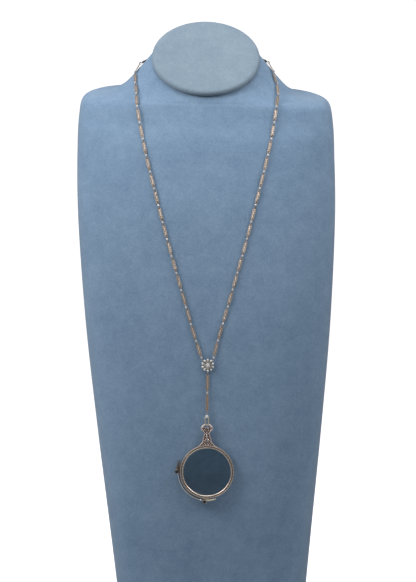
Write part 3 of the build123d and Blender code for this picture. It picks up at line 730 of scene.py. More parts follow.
def cap_cover():
    """Padded oval: rings about its middle, edge rounded by an arc, the face slightly crowned."""
    middle, across, back, out, _ = section_axes(BUST_SECTIONS[-1])
    turn = around(192)
    # columns: share of the oval, height above the seat
    profile = [(0.3, 0.25), (0.6, 0.25), (0.9, 0.25)]
    profile += [(0.965 + 0.035 * np.sin(a), 1.35 - 1.1 * np.cos(a)) for a in np.linspace(0, np.pi / 2, 6)]
    profile += [(0.935 + 0.065 * np.cos(a), 2.0 + 2.35 * np.sin(a)) for a in np.linspace(0, 1.4, 9)]
    profile += [(share, 4.35 + 0.75 * (1 - share**2)) for share in np.linspace(0.9, 0.1, 9)]
    profile = np.array(profile)
    share, height = profile[:, :1, None], profile[:, 1:, None]
    outline = CAP_HALF_WIDTH * np.cos(turn)[:, None] * across + CAP_HALF_LENGTH * np.sin(turn)[:, None] * back
    grid = middle + share * outline + height * out
    # Painted shade: the cap's lower edge darkened, in the crevice over the cover
    crevice_shade = np.clip(1.15 - height[..., 0] * 0.9, 0, 1)
    return skin(grid, crevice_shade, first=middle + 0.25 * out, last=middle + 5.1 * out)


# Chain

def bar_shape(length, widest):
    """Slim flat bar with blunt tapered ends and an eye near each end, a shallow dip painted dark as the shade
    of a hole.

    Half width = widest * (1 - 0.5 |x / reach|^8). Across it, v from -1 to 1, the top carries
    a row of beads near each edge, |cos(pi x / 0.62)|, and a row of lozenges along the middle,
    |cos(pi x / 1.35)|^0.6 * (1 - |v| / 0.48); the floor between them is the recess.
    """
    half = length / 2
    reach = half + 0.54
    x = np.linspace(-reach, reach, 97)
    far = np.abs(x) / reach
    width = widest * (1 - 0.5 * far**8)
    across = np.concatenate([np.linspace(1, -1, 19), np.linspace(-1, 1, 5)])
    top = np.arange(24) < 19
    v = np.abs(across)
    beads = np.abs(np.cos(x * np.pi / 0.62))[:, None]
    rim = np.exp(-((v - 0.8) / 0.16) ** 2) * (0.08 + 0.16 * beads)
    lozenge = np.abs(np.cos(x * np.pi / 1.35))[:, None] ** 0.6 * np.clip(1 - v / 0.48, 0, 1)
    eye = np.hypot(np.abs(x)[:, None] - half, width[:, None] * across)
    collar = 0.2 * np.exp(-((eye - 0.44) / 0.1) ** 2)
    crest = np.where(np.abs(x)[:, None] < half - 0.7, 0.34 * lozenge, collar)
    height = np.where(top, 0.05 + np.maximum(rim, crest), -0.13)
    height = np.where(top & (eye < 0.3), -0.05, height)
    height = np.where(top & (v > 0.97), 0.03, height)
    grid = np.stack([x[:, None] + 0 * height, width[:, None] * across, height], -1)
    # Recess: the floor between beads and lozenges, the underside at 0.4; the eye's dip at 1 is painted shade
    # standing for a hole
    low = np.where(top, np.clip(1.1 - np.maximum(rim, crest) / 0.16, 0, 1) * (v < 0.97), 0.4)
    low = np.where(top & (eye < 0.32), 1.0, low)
    return skin(grid, low, first=(x[0] - 0.06, 0, -0.03), last=(x[-1] + 0.06, 0, -0.03))


def loop_path(straight, radius, steps=9):
    """Long loop in the xz plane: two half circles joined by straight runs."""
    turn = np.linspace(-np.pi / 2, np.pi / 2, steps)
    end = np.stack([straight / 2 + radius * np.cos(turn), 0 * turn, radius * np.sin(turn)], -1)
    return np.vstack([end, end * (-1, 1, -1)])


def collet_cup(radius, height, wall, seat):
    """Cup for a stone: flared wall, rounded lip and an inside painted dark as the shade under the stone."""
    profile = (
        (0, 0), (radius * 0.72, 0), (radius * 0.86, height * 0.3), (radius * 0.94, height * 0.75),
        (radius, height * 0.9), (radius - wall * 0.4, height), (radius - wall * 0.9, height * 0.96),
        (radius - wall, seat), (0, seat * 0.8),
    )
    return lathe(profile, 18, (0.9, 0.8, 0.5, 0.1, 0, 0, 0.1, 0.9, 1))


def link_metal(length, radius):
    """Upright long link with a round collet standing on it."""
    straight = length - 2 * (LINK_RADIUS + LINK_WIRE)
    loop = sweep(loop_path(straight, LINK_RADIUS), circle(LINK_WIRE, 8), 0.5, up=(0, 1, 0))
    return join([loop, moved(collet_cup(radius, 0.56, 0.2, 0.24), (0, 0, 0.42))])


def chain_shapes(parts, widest=BAR_WIDEST, collet=COLLET_RADIUS):
    """Metal and stones of every bar and link among the loose parts, and the small parts left over."""
    spans = [np.linalg.norm(points.max(0) - points.min(0)) for points in parts]
    long_parts, middling, small = [], [], []
    for points, span in zip(parts, spans):
        kind = long_parts if span > BAR_LEAST_SPAN else middling if span > LINK_LEAST_SPAN else small
        kind.append(points)
    bars, bar_lengths = bar_frames(long_parts)
    links, link_lengths = link_frames(middling, bars)
    metal = [copies(bar_shape(length, widest), [axes]) for axes, length in zip(bars, bar_lengths)]
    metal.append(copies(link_metal(link_lengths.mean(), collet), links))
    stones = copies(moved(gem(collet * 0.74), (0, 0, 0.9)), links)
    return join(metal), stones, small


def eye_ring():
    """Ring of round wire, lying flat, for a link to pass through."""
    return sweep(polar(EYE_RING_RADIUS, around(16), 0), circle(EYE_WIRE, 6), 0.3)


def clasp_shape():
    """Barrel clasp between the chain's ends: ribbed rounded barrel and an eye at each end."""
    points = np.concatenate(loose_parts("clasp"))
    middle = (points.min(0) + points.max(0)) / 2
    half = (points[:, 0].max() - points[:, 0].min()) / 2
    radius, body = 1.08, half - BAR_EYE_RADIUS - 1.2
    turn = np.linspace(0, np.pi / 2, 5)[1:]
    side = [(radius * np.sin(a), -body + 0.5 - 0.5 * np.cos(a)) for a in turn]
    heights = np.linspace(-body + 0.7, body - 0.7, 12)
    ribs = [(radius - 0.08 * (k % 2), height) for k, height in enumerate(heights)]
    profile = [(0, -body)] + side + ribs + [(r, -h) for r, h in side[::-1]] + [(0, body)]
    recess = [0.3] + [0.1] * 4 + [0.0, 0.7] * 6 + [0.1] * 4 + [0.3]
    parts = [moved(lathe(profile, 32, recess), (0, 0, 0), ALONG_X)]
    for way in (-1, 1):
        ends = np.array([(way * (body - 0.1), 0, 0), (way * (half - 0.9), 0, 0)])
        ring = moved(eye_ring(), (way * (half - BAR_EYE_RADIUS), 0, 0), UPRIGHT)
        parts += [ring, sweep(ends, circle(0.2, 8), 0.4, closed=False)]
    return moved(join(parts), middle)


# Floret and drop

def floret_frame():
    """Axes of the floret: x across, y up, z forward, from the middle of its plate."""
    low = np.array([v.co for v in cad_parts["floret_setting"].data.vertices]).min(0) / MM
    return (FLORET_X, low[1] + 1.3, FLORET_HEIGHT), UPRIGHT


def petal_frames(rise=0.0):
    """Axes of the ten petals: x away from the floret's middle, z forward."""
    away = polar(1, around(PETALS, 0.5), 0.0)
    forward = np.broadcast_to((0.0, 0.0, 1.0), away.shape)
    return frames_at(PETAL_RING * away + (0, 0, rise), x_axis=away, z_axis=forward)


def floret_metal():
    """Floret: plate painted dark all over as the shadow between the petals, ten domed petals with a seat
    each, a beaded gallery, the centre's collet.
    """
    turn = around(160)
    # columns of the three profiles: radius, height
    plate = np.array([
        (0.8, -0.3), (2.9, -0.3), (3.8, -0.25), (4.1, -0.1), (4.1, 0.1), (3.8, 0.2), (2.9, 0.08), (2.3, 0.05),
        (1.9, 0.1),
    ])
    petal = (
        (0, -0.3), (0.6, -0.3), (0.76, -0.1), (0.82, 0.35), (0.81, 0.62), (0.7, 0.86), (0.56, 0.9),
        (0.47, 0.74), (0, 0.55),
    )
    cup = (
        (0, 0), (1.5, 0), (1.68, 0.5), (1.75, 1.1), (1.68, 1.3), (1.5, 1.36), (1.4, 1.22), (1.32, 0.8),
        (0, 0.7),
    )
    radius, height = plate[:, :1], plate[:, 1:]
    scallop = 1 - 0.06 * (radius > 3) * (0.5 - 0.5 * np.cos(PETALS * turn + np.pi))
    # Painted shadow: the plate's recess of 1 makes it dark where it shows between the petals
    plate = skin(polar(radius * scallop, turn, height), 1.0, first=(0, 0, -0.3), last=(0, 0, 0.1))
    petals = copies(lathe(petal, 22, (1, 1, 0.9, 0.4, 0, 0, 0, 0.3, 1)), petal_frames())
    beads = copies(bead(0.3), frames_at(polar(2.42, around(20), 0.42), (1, 0, 0), (0, 1, 0)))
    centre = lathe(cup, 40, (1, 0.9, 0.6, 0.15, 0, 0, 0.3, 1, 1))
    parts = [plate, petals, beads, centre]
    for angle in FLORET_EYE_ANGLES:
        way = polar(1, np.radians(angle), 0)
        route = np.array([way * 3.3, way * 3.9, way * 4.45])
        stem = sweep(route, circle(0.16, 8) * (2.0, 0.8), 0.6, closed=False)
        parts += [moved(eye_ring(), way * 5.0), stem]
    return join(parts)


def floret_gems():
    """The petals' small stones and the centre stone with its twelve sides."""
    centre = moved(gem(1.3, 12, table=0.5), (0, 0, 1.22))
    return join([copies(gem(0.45), petal_frames(0.86)), centre])


def wire_ring(points, radius=EYE_WIRE):
    """Ring laid round the loose part's own outline: an oval of its two longest axes."""
    middle = (points.min(0) + points.max(0)) / 2
    _, axes = np.linalg.eigh(np.cov((points - middle).T))
    reach = [np.abs((points - middle) @ axes[:, k]).max() - radius for k in (2, 1)]
    turn = around(28)[:, None]
    path = middle + reach[0] * np.cos(turn) * axes[:, 2] + reach[1] * np.sin(turn) * axes[:, 1]
    return sweep(path, circle(radius, 8), 0.15, up=axes[:, 0])


def end_loop(points, radius=0.17):
    """Three-cornered loop through the clip's boss. Each side is a blend of two corners, cut short."""
    low, high = points.min(0), points.max(0)
    x, y = ((low + high) / 2)[:2]
    top, bottom = high[2] - radius, low[2] + radius
    corners = np.array([(x, y, top), (high[0] - radius, y, bottom), (low[0] + radius, y, bottom)])
    share = np.linspace(0.14, 0.86, 9)[:, None]
    path = np.vstack([a * (1 - share) + b * share for a, b in zip(corners, np.roll(corners, -1, 0))])
    return sweep(path, circle(radius, 8), 0.1, up=(0, 1, 0))


# Pendant pieces, in the pendant's plane

def front_rim(beads):
    """Front rim: a row of beads on each ridge, a dark channel with cross bars, a polished inner bevel.

    Ridge points stand at radius + h cos a, height + 1.2 h sin a. On the outer ridge
    h = 0.16 + 0.13 |cos(beads t / 2)|^0.7, on the inner one 0.17 + 0.12 |cos(beads t / 2)|^0.7.
    """
    turn = around(beads * 8)
    pulse = np.abs(np.cos(beads * turn / 2)) ** 0.7
    rows, depths = [], []

    def add(radius, height, depth):
        rows.append(polar(radius, turn, height))
        depths.append(np.clip(depth + 0 * turn, 0, 1))

    for radius, height in ((16.72, 1.47), (18.7, 1.45), (RIM_OUTER, 1.6), (RIM_OUTER, 2.8)):
        add(radius, height, 0.5)
    for angle in np.radians((0, 35, 70, 100, 135, 170)):
        reach = 0.16 + 0.13 * pulse
        rise = RIDGE_HEIGHT + 1.2 * reach * np.sin(angle)
        add(18.5 + reach * np.cos(angle), rise, 0.25 + 0.7 * (1 - pulse))
    cross_bars = beads // 2
    bars = np.abs(np.cos(cross_bars * turn / 2)) ** 3
    add(18.15, 2.7 + 0.05 * bars, 1.0 - 0.2 * bars)
    add(17.95, 2.62 + 0.16 * bars, 1.0 - 0.55 * bars)
    add(17.65, 2.62 + 0.16 * bars, 1.0 - 0.55 * bars)
    add(17.5, 2.7 + 0.05 * bars, 1.0)
    for angle in np.radians((10, 45, 80, 110, 145)):
        reach = 0.17 + 0.12 * pulse
        rise = RIDGE_HEIGHT + 1.2 * reach * np.sin(angle)
        add(17.15 + reach * np.cos(angle), rise, 0.1 + 0.6 * (1 - pulse))
    # columns: radius, height, depth of recess
    for radius, height, depth in (
        (16.86, 3.02, 0.0), (16.76, 2.95, 0.0), (RIM_INNER, 2.82, 0.35), (RIM_INNER, 2.76, 0.6),
        (17.28, 2.75, 1.0), (17.28, 2.05, 1.0), (RIM_INNER, 2.04, 0.9),
    ):
        add(radius, height, depth)
    return skin(np.array(rows), np.array(depths), ring=True)


def rear_rim():
    """Rear rim: plain, with rounded edges, a worked groove and the lens's seat."""
    # columns: radius, height
    profile = (
        (16.75, 0.03), (17.2, 0.0), (18.3, 0.0), (18.7, 0.08), (RIM_OUTER, 0.25), (RIM_OUTER, 1.05),
        (18.7, 1.22), (18.4, 1.3), (18.0, 1.3), (17.85, 1.2), (17.65, 1.2), (17.5, 1.3), (17.0, 1.3),
        (16.78, 1.22), (RIM_INNER, 1.1), (RIM_INNER, 0.96), (17.28, 0.95), (17.28, 0.35), (RIM_INNER, 0.34),
    )
    recess = (0.4, 0.2, 0.2, 0.2, 0.3, 0.3, 0.2, 0, 0.2, 0.9, 0.9, 0.2, 0, 0.1, 0.3, 0.8, 1, 1, 0.8)
    return lathe(profile, 360, recess)


def lens_shape(middle, edge, depth):
    """Magnifying lens: two bows, each edge / 2 + (depth - edge) / 2 * (1 - (r / R)^2) from the middle."""
    radius = np.concatenate([np.linspace(0, LENS_RADIUS, 15), np.linspace(LENS_RADIUS, 0, 15)])
    rise = (depth - edge) / 2 * (1 - (radius / LENS_RADIUS) ** 2) + edge / 2
    side = np.where(np.arange(30) < 15, -1, 1)
    return lathe(np.stack([radius, middle + side * rise], -1), 180)


def finial_shape():
    """Finial: openwork plate from the rim to the crown, with the crown's two curled arms and the eye.

    v runs from -1 to 1 across each row. The face rises 0.72 above 2.25 on the wire along the edge and
    on the scrolls, the larger of |sin(1.75 x) cos(1.6 y)| and |cos(1.75 x) sin(1.6 y)| with y from 27.
    The gaps are not cut through: they and the ground between are recesses, the gaps painted dark as the shade
    of open holes.
    """
    table = smooth_table(FINIAL_FACE, 9)
    width, edge, middle = (table[:, k:k + 1] for k in range(3))
    v = np.concatenate([np.linspace(-1, 1, 65), np.linspace(1, -1, 7)])
    front = np.arange(72) < 65
    x = width * v
    y = middle + (edge - middle) * v**2
    wire = np.exp(-((np.abs(v) * width - (width - 0.36)) / 0.24) ** 2)
    lattice = np.abs(np.sin(1.75 * x) * np.cos(1.6 * (y - 27.0)))
    cross = np.abs(np.cos(1.75 * x) * np.sin(1.6 * (y - 27.0)))
    scroll = np.maximum(lattice, cross)
    grain = 0.7 + 0.3 * np.cos(8 * x) * np.cos(8 * y)
    relief = np.clip(np.maximum(0.9 * wire, (scroll - 0.6) / 0.3) * grain, 0, 1)
    # Painted shade: each gap drops the relief to 0, so the recess paints it dark as a hole
    for spot_x, spot_y, reach in FINIAL_GAPS:
        away = np.hypot(x - spot_x, y - spot_y)
        relief *= np.clip(away / reach - 0.35, 0, 1)
    z = np.where(front, 2.25 + 0.72 * relief, 1.62)
    z = np.where(front & (np.abs(v) > 0.985), 2.2, z)
    recess = np.where(front, np.clip(1.05 - relief * 1.7, 0, 1), 0.5)
    top = (0, table[-1, 2] + 0.05, 2.0)
    plate = skin(np.stack([x, y, z], -1), recess, first=(0, 17.9, 2.0), last=top)
    parts = [plate]
    t = np.linspace(0, 1, 25)[:, None]
    for side in (-1, 1):
        bend = np.array([(2.3, 28.8), (5.15, 30.5), (1.55, 33.45)]) * (side, 1)
        path = (1 - t) ** 2 * bend[0] + 2 * t * (1 - t) * bend[1] + t**2 * bend[2]
        route = np.pad(path, ((0, 0), (0, 1)), constant_values=2.3)
        girth = 0.4 + 0.32 * np.sin(np.pi * t[:, 0]) ** 0.8 + 0.05 * np.cos(26 * t[:, 0])
        hollow = 0.55 * (0.5 + 0.5 * np.cos(26 * t + np.pi)) ** 3
        parts.append(sweep(route, oval_wire(girth, 0.62, 14), hollow, closed=False))
    ring = polar(0.64, around(28), 0.0)[:, [2, 0, 1]] + (0, SWING_HEIGHT, SWING_FORWARD)
    parts.append(sweep(ring, circle(0.27, 10), 0.1, up=(1, 0, 0)))
    for stone_x, stone_y, radius in FINIAL_STONES:
        parts.append(moved(collet_cup(radius + 0.17, 0.78, 0.16, 0.3), (stone_x, stone_y, 2.55)))
    return join(parts)


def finial_gems():
    """The finial's cut stones in their collets."""
    return join([moved(gem(radius), (x, y, 3.38)) for x, y, radius in FINIAL_STONES])


def hub(place, low, high, low_bevel, high_bevel, recess):
    """Round eye of a pin, with both its edges bevelled."""
    profile = (
        (0, low), (1.1, low), (HUB_RADIUS, low + low_bevel), (HUB_RADIUS, high - high_bevel), (1.12, high),
        (0, high),
    )
    return moved(lathe(profile, 32, recess), (*place, 0))


def front_lug():
    """Lug of the bottom pin: a flat eye and its thin tail along the rim."""
    share = np.linspace(0, 1, 30)
    angle = np.radians(-93 + 21 * share)
    radius = 20.25 - 0.35 * share + 0.1 * share**2
    girth = 0.62 * (1 - 0.35 * share) + 0.05 * np.cos(40 * share)
    tail = sweep(polar(radius, angle, 2.95), oval_wire(girth, 0.37, 12), 0.1, closed=False)
    root = polar(18.75, np.radians(np.linspace(-98, -86, 9)), 2.95)
    base = sweep(root, circle(1, 12) * (0.5, 0.37), 0.5, closed=False)
    return join([tail, base, hub(BOTTOM_PIN, 2.56, 3.33, 0.12, 0.13, (0.5, 0.4, 0.2, 0, 0, 0.3))])


def bridge_shape():
    """Bridge bar: bright outer lip and an inner ledge painted dark as the shade in the gap to the rim, on an
    arc, a hub over each pin, a knob.
    """
    path = polar(BRIDGE_RADIUS, np.radians(np.linspace(182.2, 262.8, 90)), 1.95)
    # Painted shade: the inner ledge's recess of 0.9 to 1 darkens it as the shadowed gap between bar and rim
    # columns: across the bar, up from its middle, depth of recess
    section = np.array([
        (-0.5, -0.42, 0.2), (-0.42, -0.49, 0.2), (0.42, -0.49, 0.4), (0.52, -0.4, 0.9), (0.52, 0.02, 1.0),
        (0.40, 0.08, 1.0), (0.06, 0.1, 1.0), (-0.02, 0.36, 0.5), (-0.14, 0.49, 0.0), (-0.38, 0.49, 0.0),
        (-0.5, 0.38, 0.0),
    ])
    bar = sweep(path, section[:, :2], section[None, :, 2], closed=False)
    depths = (0.5, 0.4, 0.2, 0.1, 0.1, 0.4)
    hubs = [hub(pin, 1.46, 2.44, 0.12, 0.14, depths) for pin in (SIDE_PIN, BOTTOM_PIN)]
    knob = moved(bead(0.74, 14, 7), polar(20.3, np.radians(257.8), 2.3))
    return join([bar, *hubs, knob])


def side_lug():
    """Lug of the rear rim: a curved horn from the side pin upward, with a flat eye."""
    share = np.linspace(0, 1, 30)
    path = np.stack([-20.7 + 1.1 * share**1.5, 0.2 + 8.0 * share, 0.85 + 0 * share], -1)
    girth = 0.25 + 0.85 * (1 - share) ** 0.8
    horn = sweep(path, oval_wire(girth, 0.42, 14), 0.85, closed=False)
    root = polar(18.9, np.radians(np.linspace(160, 183, 12)), 0.85)
    base = sweep(root, circle(1, 12) * (0.8, 0.4), 0.85, closed=False)
    return join([horn, base, hub(SIDE_PIN, 0.42, 1.29, 0.1, 0.09, 0.6)])


def pin_shape(place, back, head, seat):
    """Pin: shaft from its back, flat head up to the height given (0 for none), scalloped collet."""
    turn = around(48)
    claw = 0.5 + 0.5 * np.cos(8 * turn)
    # columns: radius, height above the seat, lift of the claws, depth of recess
    rows = (
        (0.95, 0.0, 0, 0.9), (1.22, 0.25, 0, 0.8), (1.35, 0.6, 0, 0.5), (1.39, 0.8, 0, 0.1),
        (1.37, 0.88, 0.1, 0.0), (1.29, 0.9, 0.12, 0.0), (1.2, 0.8, 0.02, 0.8),
    )
    grid = np.array([polar(r, turn, seat + h + lift * claw) for r, h, lift, _ in rows])
    recess = np.array(rows)[:, 3:]
    cup = skin(grid, recess, first=(0, 0, seat), last=(0, 0, seat + 0.1))
    low = (head or back) - 0.02
    parts = [cup, lathe(((0, low), (0.44, low), (0.44, seat + 0.1), (0, seat + 0.12)), 20, 0.5)]
    if head:
        disc = (
            (0, back), (0.7, back), (0.85, back + 0.08), (0.85, head - 0.06), (0.75, head), (0, head),
        )
        parts.append(lathe(disc, 28, 0.2))
    return moved(join(parts), (*place, 0))


def pin_gem(place, height):
    """Dark stone in a pin's collet."""
    return moved(gem(1.15, 12, table=0.5, crown=0.42), (*place, height))


def clip_shape():
    """Clip: long hoop of oval wire, its inner side painted near-black as a dark reflection, under a drilled
    bright boss.
    """
    quarter = polar(CLIP_CORNER, np.linspace(0, np.pi / 2, 7), SWING_FORWARD)
    quarter += (CLIP_HALF_WIDTH - CLIP_CORNER, CLIP_LENGTH / 2 - CLIP_CORNER, 0)
    back = quarter[::-1]
    loop = np.vstack([quarter, back * (-1, 1, 1), quarter * (-1, -1, 1), back * (1, -1, 1)])
    # Painted reflection: the inner side of the wire takes the near-black of silver_clip, standing for the
    # dark slot
    inward = np.clip(4 * np.cos(around(14)) - 2.2, 0, 1)
    path = loop + (0, SWING_HEIGHT + CLIP_LENGTH / 2, 0)
    wire = sweep(path, circle(0.3, 14) * (1.4, 1.0), inward[None])
    boss_radius = 0.95
    # columns: radius, height, depth of recess
    profile = np.array([
        (0.62, -0.8, 0), (0.82, -0.68, 0), (0.93, -0.3, 0), (boss_radius, 0.0, 0), (0.93, 0.3, 0),
        (0.82, 0.68, 0), (0.62, 0.8, 0), (0.42, 0.74, 0.6), (0.4, 0.4, 1), (0.4, -0.4, 1), (0.42, -0.74, 0.6),
    ])
    boss = lathe(profile[:, :2], 36, profile[:, 2], finish=1)
    top = SWING_HEIGHT + CLIP_LENGTH + 0.75 * boss_radius
    return join([wire, moved(boss, (0, top, SWING_FORWARD), ALONG_X)])


# Sizes a user may change, and the operators that build each piece

def colour(name, note, value):
    """Colour that the user may change, with its name and what it is for."""
    return bpy.props.FloatVectorProperty(
        name=name, description=note, subtype="COLOR", size=3, default=value, min=0, max=1
    )


class PendantSizes(bpy.types.PropertyGroup):
    """Sizes and colours of the pendant and its bust."""

    bust_colour: colour("Bust colour", "Colour of the bust's suede in its shade", (0.125, 0.205, 0.315))
    bust_light: colour("Bust nap", "Colour of the brushed nap of the bust", (0.27, 0.38, 0.515))
    cap_colour: colour("Cap colour", "Colour of the neck cap's suede in its shade", (0.155, 0.215, 0.275))
    cap_light: colour("Cap nap", "Colour of the brushed nap of the cap", (0.285, 0.36, 0.43))
    beads: bpy.props.IntProperty(name="Beads", description="Beads round the rim", default=96, min=24, max=200)


class BuildStep:
    """What every building step shares."""

    bl_options = {"REGISTER", "UNDO"}

    @property
    def sizes(self):
        """The scene's pendant sizes."""
        return bpy.context.scene.pendant_sizes


class PENDANT_OT_bust(BuildStep, bpy.types.Operator):
    """Build the suede cover of the bust and its padded neck cap"""

    bl_idname = "pendant.bust"
    bl_label = "Bust and cap"

    def execute(self, context):
        finishes(self.sizes)
        cover = new_piece("bust_cover", bust_cover(), "suede_bust", "display")
        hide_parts("neck_bust")
        cap = new_piece("cap_cover", cap_cover(), "suede_cap", "display")
        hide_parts("neck_cap")
        return {"FINISHED"}


class PENDANT_OT_chain(BuildStep, bpy.types.Operator):
    """Build the bars, links and small stones of both halves of the chain"""

    bl_idname = "pendant.chain"
    bl_label = "Chain"

    def execute(self, context):
        finishes(self.sizes)
        for side in ("left", "right"):
            metal, stones, _ = chain_shapes(loose_parts(f"chain_{side}"))
            name = f"chain_{side}"
            piece = new_piece(f"{name}_metal", metal, "silver_old", "display", sharp=50)
            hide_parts(f"chain_{side}")
            new_piece(f"{name}_stones", stones, "stone_spark", "display", flat=True)
        return {"FINISHED"}


class PENDANT_OT_floret(BuildStep, bpy.types.Operator):
    """Build the floret with its petals and stones"""

    bl_idname = "pendant.floret"
    bl_label = "Floret"

    def execute(self, context):
        finishes(self.sizes)
        place, axes = floret_frame()
        metal = moved(floret_metal(), place, axes)
        piece = new_piece("floret_metal", metal, "silver_bright", "display", sharp=50)
        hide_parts("floret_setting")
        gems = moved(floret_gems(), place, axes)
        piece = new_piece("floret_gems", gems, "stone_spark", "display", flat=True)
        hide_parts("floret_stones")
        return {"FINISHED"}


class PENDANT_OT_drop(BuildStep, bpy.types.Operator):
    """Build the drop's bars, link, rings and end loop"""

    bl_idname = "pendant.drop"
    bl_label = "Drop chain"

    def execute(self, context):
        finishes(self.sizes)
        parts = sorted(loose_parts("drop_chain"), key=lambda points: points[:, 2].mean())
        metal, stones, rest = chain_shapes(parts[1:], 1.0, 0.8)
        rings = [end_loop(parts[0])] + [wire_ring(points) for points in rest]
        whole = join([metal] + rings)
        piece = new_piece("drop_metal", whole, "silver_golden", "display", sharp=50)
        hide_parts("drop_chain")
        new_piece("drop_gem", stones, "stone_spark", "display", flat=True)
        return {"FINISHED"}


class PENDANT_OT_clip(BuildStep, bpy.types.Operator):
    """Build the clip and its boss"""

    bl_idname = "pendant.clip"
    bl_label = "Clip"

    def execute(self, context):
        finishes(self.sizes)
        clip, look = on_pendant(clip_shape()), ("silver_clip", "silver_bright")
        piece = new_piece("clip_metal", clip, look, "display", sharp=50)
        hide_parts("pendant_clip")
        return {"FINISHED"}


class PENDANT_OT_front(BuildStep, bpy.types.Operator):
    """Build the front rim, its finial and lug, its lens and stones and the bottom pin"""

    bl_idname = "pendant.front"
    bl_label = "Front frame"

    def execute(self, context):
        finishes(self.sizes)
        body = "pendant"
        ring = on_pendant(front_rim(self.sizes.beads))
        rim = new_piece("front_rim", ring, "silver_rim", body)
        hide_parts("front_frame")
        new_piece("finial_metal", on_pendant(finial_shape()), "silver_finial", body)
        new_piece("lug_metal", on_pendant(front_lug()), "silver_clip", body, sharp=50)
        stones = on_pendant(finial_gems())
        gems = new_piece("finial_gems", stones, "stone_small", body, flat=True)
        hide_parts("finial_stones")
        glass = on_pendant(lens_shape(2.4, 0.6, 1.8))
        lens = new_piece("front_glass", glass, "glass_lens", body, sharp=50)
        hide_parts("front_lens")
        shaft = on_pendant(pin_shape(BOTTOM_PIN, 1.6, 0, 3.37))
        pin = new_piece("bottom_pin_metal", shaft, "silver_bright", body, sharp=50)
        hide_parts("bottom_pin")
        stone = on_pendant(pin_gem(BOTTOM_PIN, 4.22))
        gem_piece = new_piece("bottom_gem", stone, "stone_red", body, flat=True)
        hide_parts("bottom_stone")
        return {"FINISHED"}


class PENDANT_OT_bridge(BuildStep, bpy.types.Operator):
    """Build the bridge bar and the side pin with its stone"""

    bl_idname = "pendant.bridge"
    bl_label = "Bridge"

    def execute(self, context):
        finishes(self.sizes)
        body = "bridge"
        metal = on_pendant(bridge_shape())
        bar = new_piece("bridge_metal", metal, "silver_bright", body, sharp=50)
        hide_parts("bridge_bar")
        shaft = on_pendant(pin_shape(SIDE_PIN, 0.0, 0.35, 2.47))
        pin = new_piece("side_pin_metal", shaft, "silver_old", body, sharp=50)
        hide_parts("side_pin")
        stone = on_pendant(pin_gem(SIDE_PIN, 3.32))
        gem_piece = new_piece("side_gem", stone, "stone_night", body, flat=True)
        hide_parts("side_stone")
        return {"FINISHED"}


class PENDANT_OT_rear(BuildStep, bpy.types.Operator):
    """Build the rear rim, its lug and its lens"""

    bl_idname = "pendant.rear"
    bl_label = "Rear frame"

    def execute(self, context):
        finishes(self.sizes)
        body = "rear_lens_frame"
        rim = new_piece("rear_rim", on_pendant(rear_rim()), "silver_old", body)
        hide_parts("rear_frame")
        new_piece("side_lug", on_pendant(side_lug()), "silver_old", body, sharp=50)
        glass = on_pendant(lens_shape(0.65, 0.5, 1.2))
        lens = new_piece("rear_pane", glass, "glass_lens", body, sharp=50)
        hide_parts("rear_lens")
        return {"FINISHED"}


class PENDANT_OT_clasp(BuildStep, bpy.types.Operator):
    """Build the clasp behind the neck"""

    bl_idname = "pendant.clasp"
    bl_label = "Clasp"

    def execute(self, context):
        finishes(self.sizes)
        piece = new_piece("clasp_metal", clasp_shape(), "silver_old", "display", sharp=50)
        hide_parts("clasp")
        return {"FINISHED"}


# Stage

def area_light(name, place, aim, watts):
    """Soft square light at a place, facing the height aim over the origin, in metres."""
    data = bpy.data.lights.new(name, "AREA")
    data.energy, data.size = watts, LIGHT_SIZE
    light = bpy.data.objects.new(name, data)
    bpy.context.scene.collection.objects.link(light)
    light.location = place
    way = Vector((0, 0, aim)) - Vector(place)
    light.rotation_euler = way.to_track_quat("-Z", "Y").to_euler()


def stage_surface():
    """Floor that curves up into a backdrop: a line of (along, height) with an arc, drawn across."""
    turn = np.linspace(0, np.pi / 2, 13)
    bend = [(2.2 + 0.6 * np.sin(a), 0.6 - 0.6 * np.cos(a)) for a in turn]
    line = np.array([(-4.0, 0.0), (1.6, 0.0), *bend, (2.8, 5.0)])
    across = np.array([-4.0, 4.0])
    grid = np.stack(np.broadcast_arrays(across[None, :], line[:, :1], line[:, 1:]), -1)
    i = np.arange(len(line) - 1)
    faces = np.stack([2 * i, 2 * i + 1, 2 * i + 3, 2 * i + 2], -1)
    return Shape(grid.reshape(-1, 3) / MM, faces)


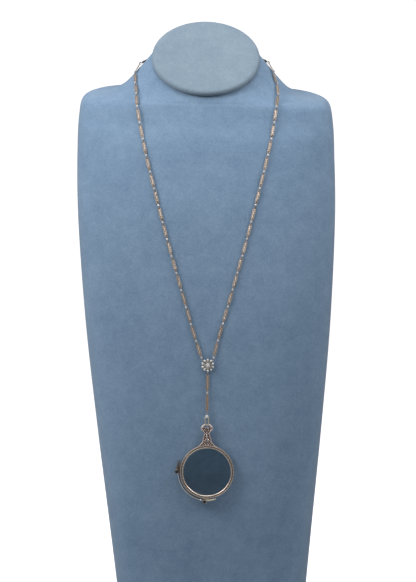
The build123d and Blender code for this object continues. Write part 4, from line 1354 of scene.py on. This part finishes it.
class PENDANT_OT_stage(BuildStep, bpy.types.Operator):
    """Set up the pale floor, the soft studio lights and the camera"""

    bl_idname = "pendant.stage"
    bl_label = "Stage"

    def execute(self, context):
        scene = bpy.context.scene
        shape = stage_surface()
        mesh = bpy.data.meshes.new("stage_floor")
        mesh.from_pydata((shape.points * MM).tolist(), [], shape.faces.tolist())
        mesh.polygons.foreach_set("use_smooth", np.full(len(shape.faces), True))
        floor = bpy.data.objects.new("stage_floor", mesh)
        scene.collection.objects.link(floor)
        material, tree, shader = new_material("stage_white")
        shader.inputs["Base Color"].default_value = (0.5, 0.5, 0.5, 1)
        shader.inputs["Roughness"].default_value = 0.9
        shader.inputs["Emission Color"].default_value = (1, 1, 1, 1)
        path = tree.nodes.new("ShaderNodeLightPath")
        tree.links.new(path.outputs["Is Camera Ray"], shader.inputs["Emission Strength"])
        mesh.materials.append(material)

        world = bpy.data.worlds.new("studio_air")
        world.use_nodes = True
        air = world.node_tree.nodes["Background"]
        air.inputs["Color"].default_value = (0.93, 0.96, 1.0, 1)
        air.inputs["Strength"].default_value = 0.17
        scene.world = world
        scene.view_settings.view_transform = "Standard"

        for light in LIGHTS:
            area_light(*light)

        data = bpy.data.cameras.new("camera")
        data.lens, data.sensor_width = 138.0, 36.0
        data.clip_start, data.clip_end = 0.01, 50.0
        camera = bpy.data.objects.new("camera", data)
        scene.collection.objects.link(camera)
        camera.location = (0.00073, -1.5939, 0.37545)
        camera.rotation_euler = (np.radians(85.0), 0, 0)
        scene.camera = camera
        return {"FINISHED"}


class PENDANT_PT_panel(bpy.types.Panel):
    """Lists the sizes and the building steps"""

    bl_idname = "PENDANT_PT_panel"
    bl_label = "Magnifier pendant"
    bl_space_type = "VIEW_3D"
    bl_region_type = "UI"
    bl_category = "Pendant"

    def draw(self, context):
        sizes = context.scene.pendant_sizes
        for name in PendantSizes.__annotations__:
            self.layout.prop(sizes, name)
        for step in STEPS:
            self.layout.operator(step.bl_idname)


STEPS = (
    PENDANT_OT_bust, PENDANT_OT_chain, PENDANT_OT_clasp, PENDANT_OT_floret, PENDANT_OT_drop, PENDANT_OT_clip,
    PENDANT_OT_front, PENDANT_OT_bridge, PENDANT_OT_rear, PENDANT_OT_stage,
)


def register():
    for item in (PendantSizes, *STEPS, PENDANT_PT_panel):
        bpy.utils.register_class(item)
    bpy.types.Scene.pendant_sizes = bpy.props.PointerProperty(type=PendantSizes)


def unregister():
    del bpy.types.Scene.pendant_sizes
    for item in reversed((PendantSizes, *STEPS, PENDANT_PT_panel)):
        bpy.utils.unregister_class(item)


def main():
    """Build every piece in order."""
    register()
    for step in STEPS:
        group, name = step.bl_idname.split(".")
        getattr(getattr(bpy.ops, group), name)()


if __name__ == "__main__":
    main()
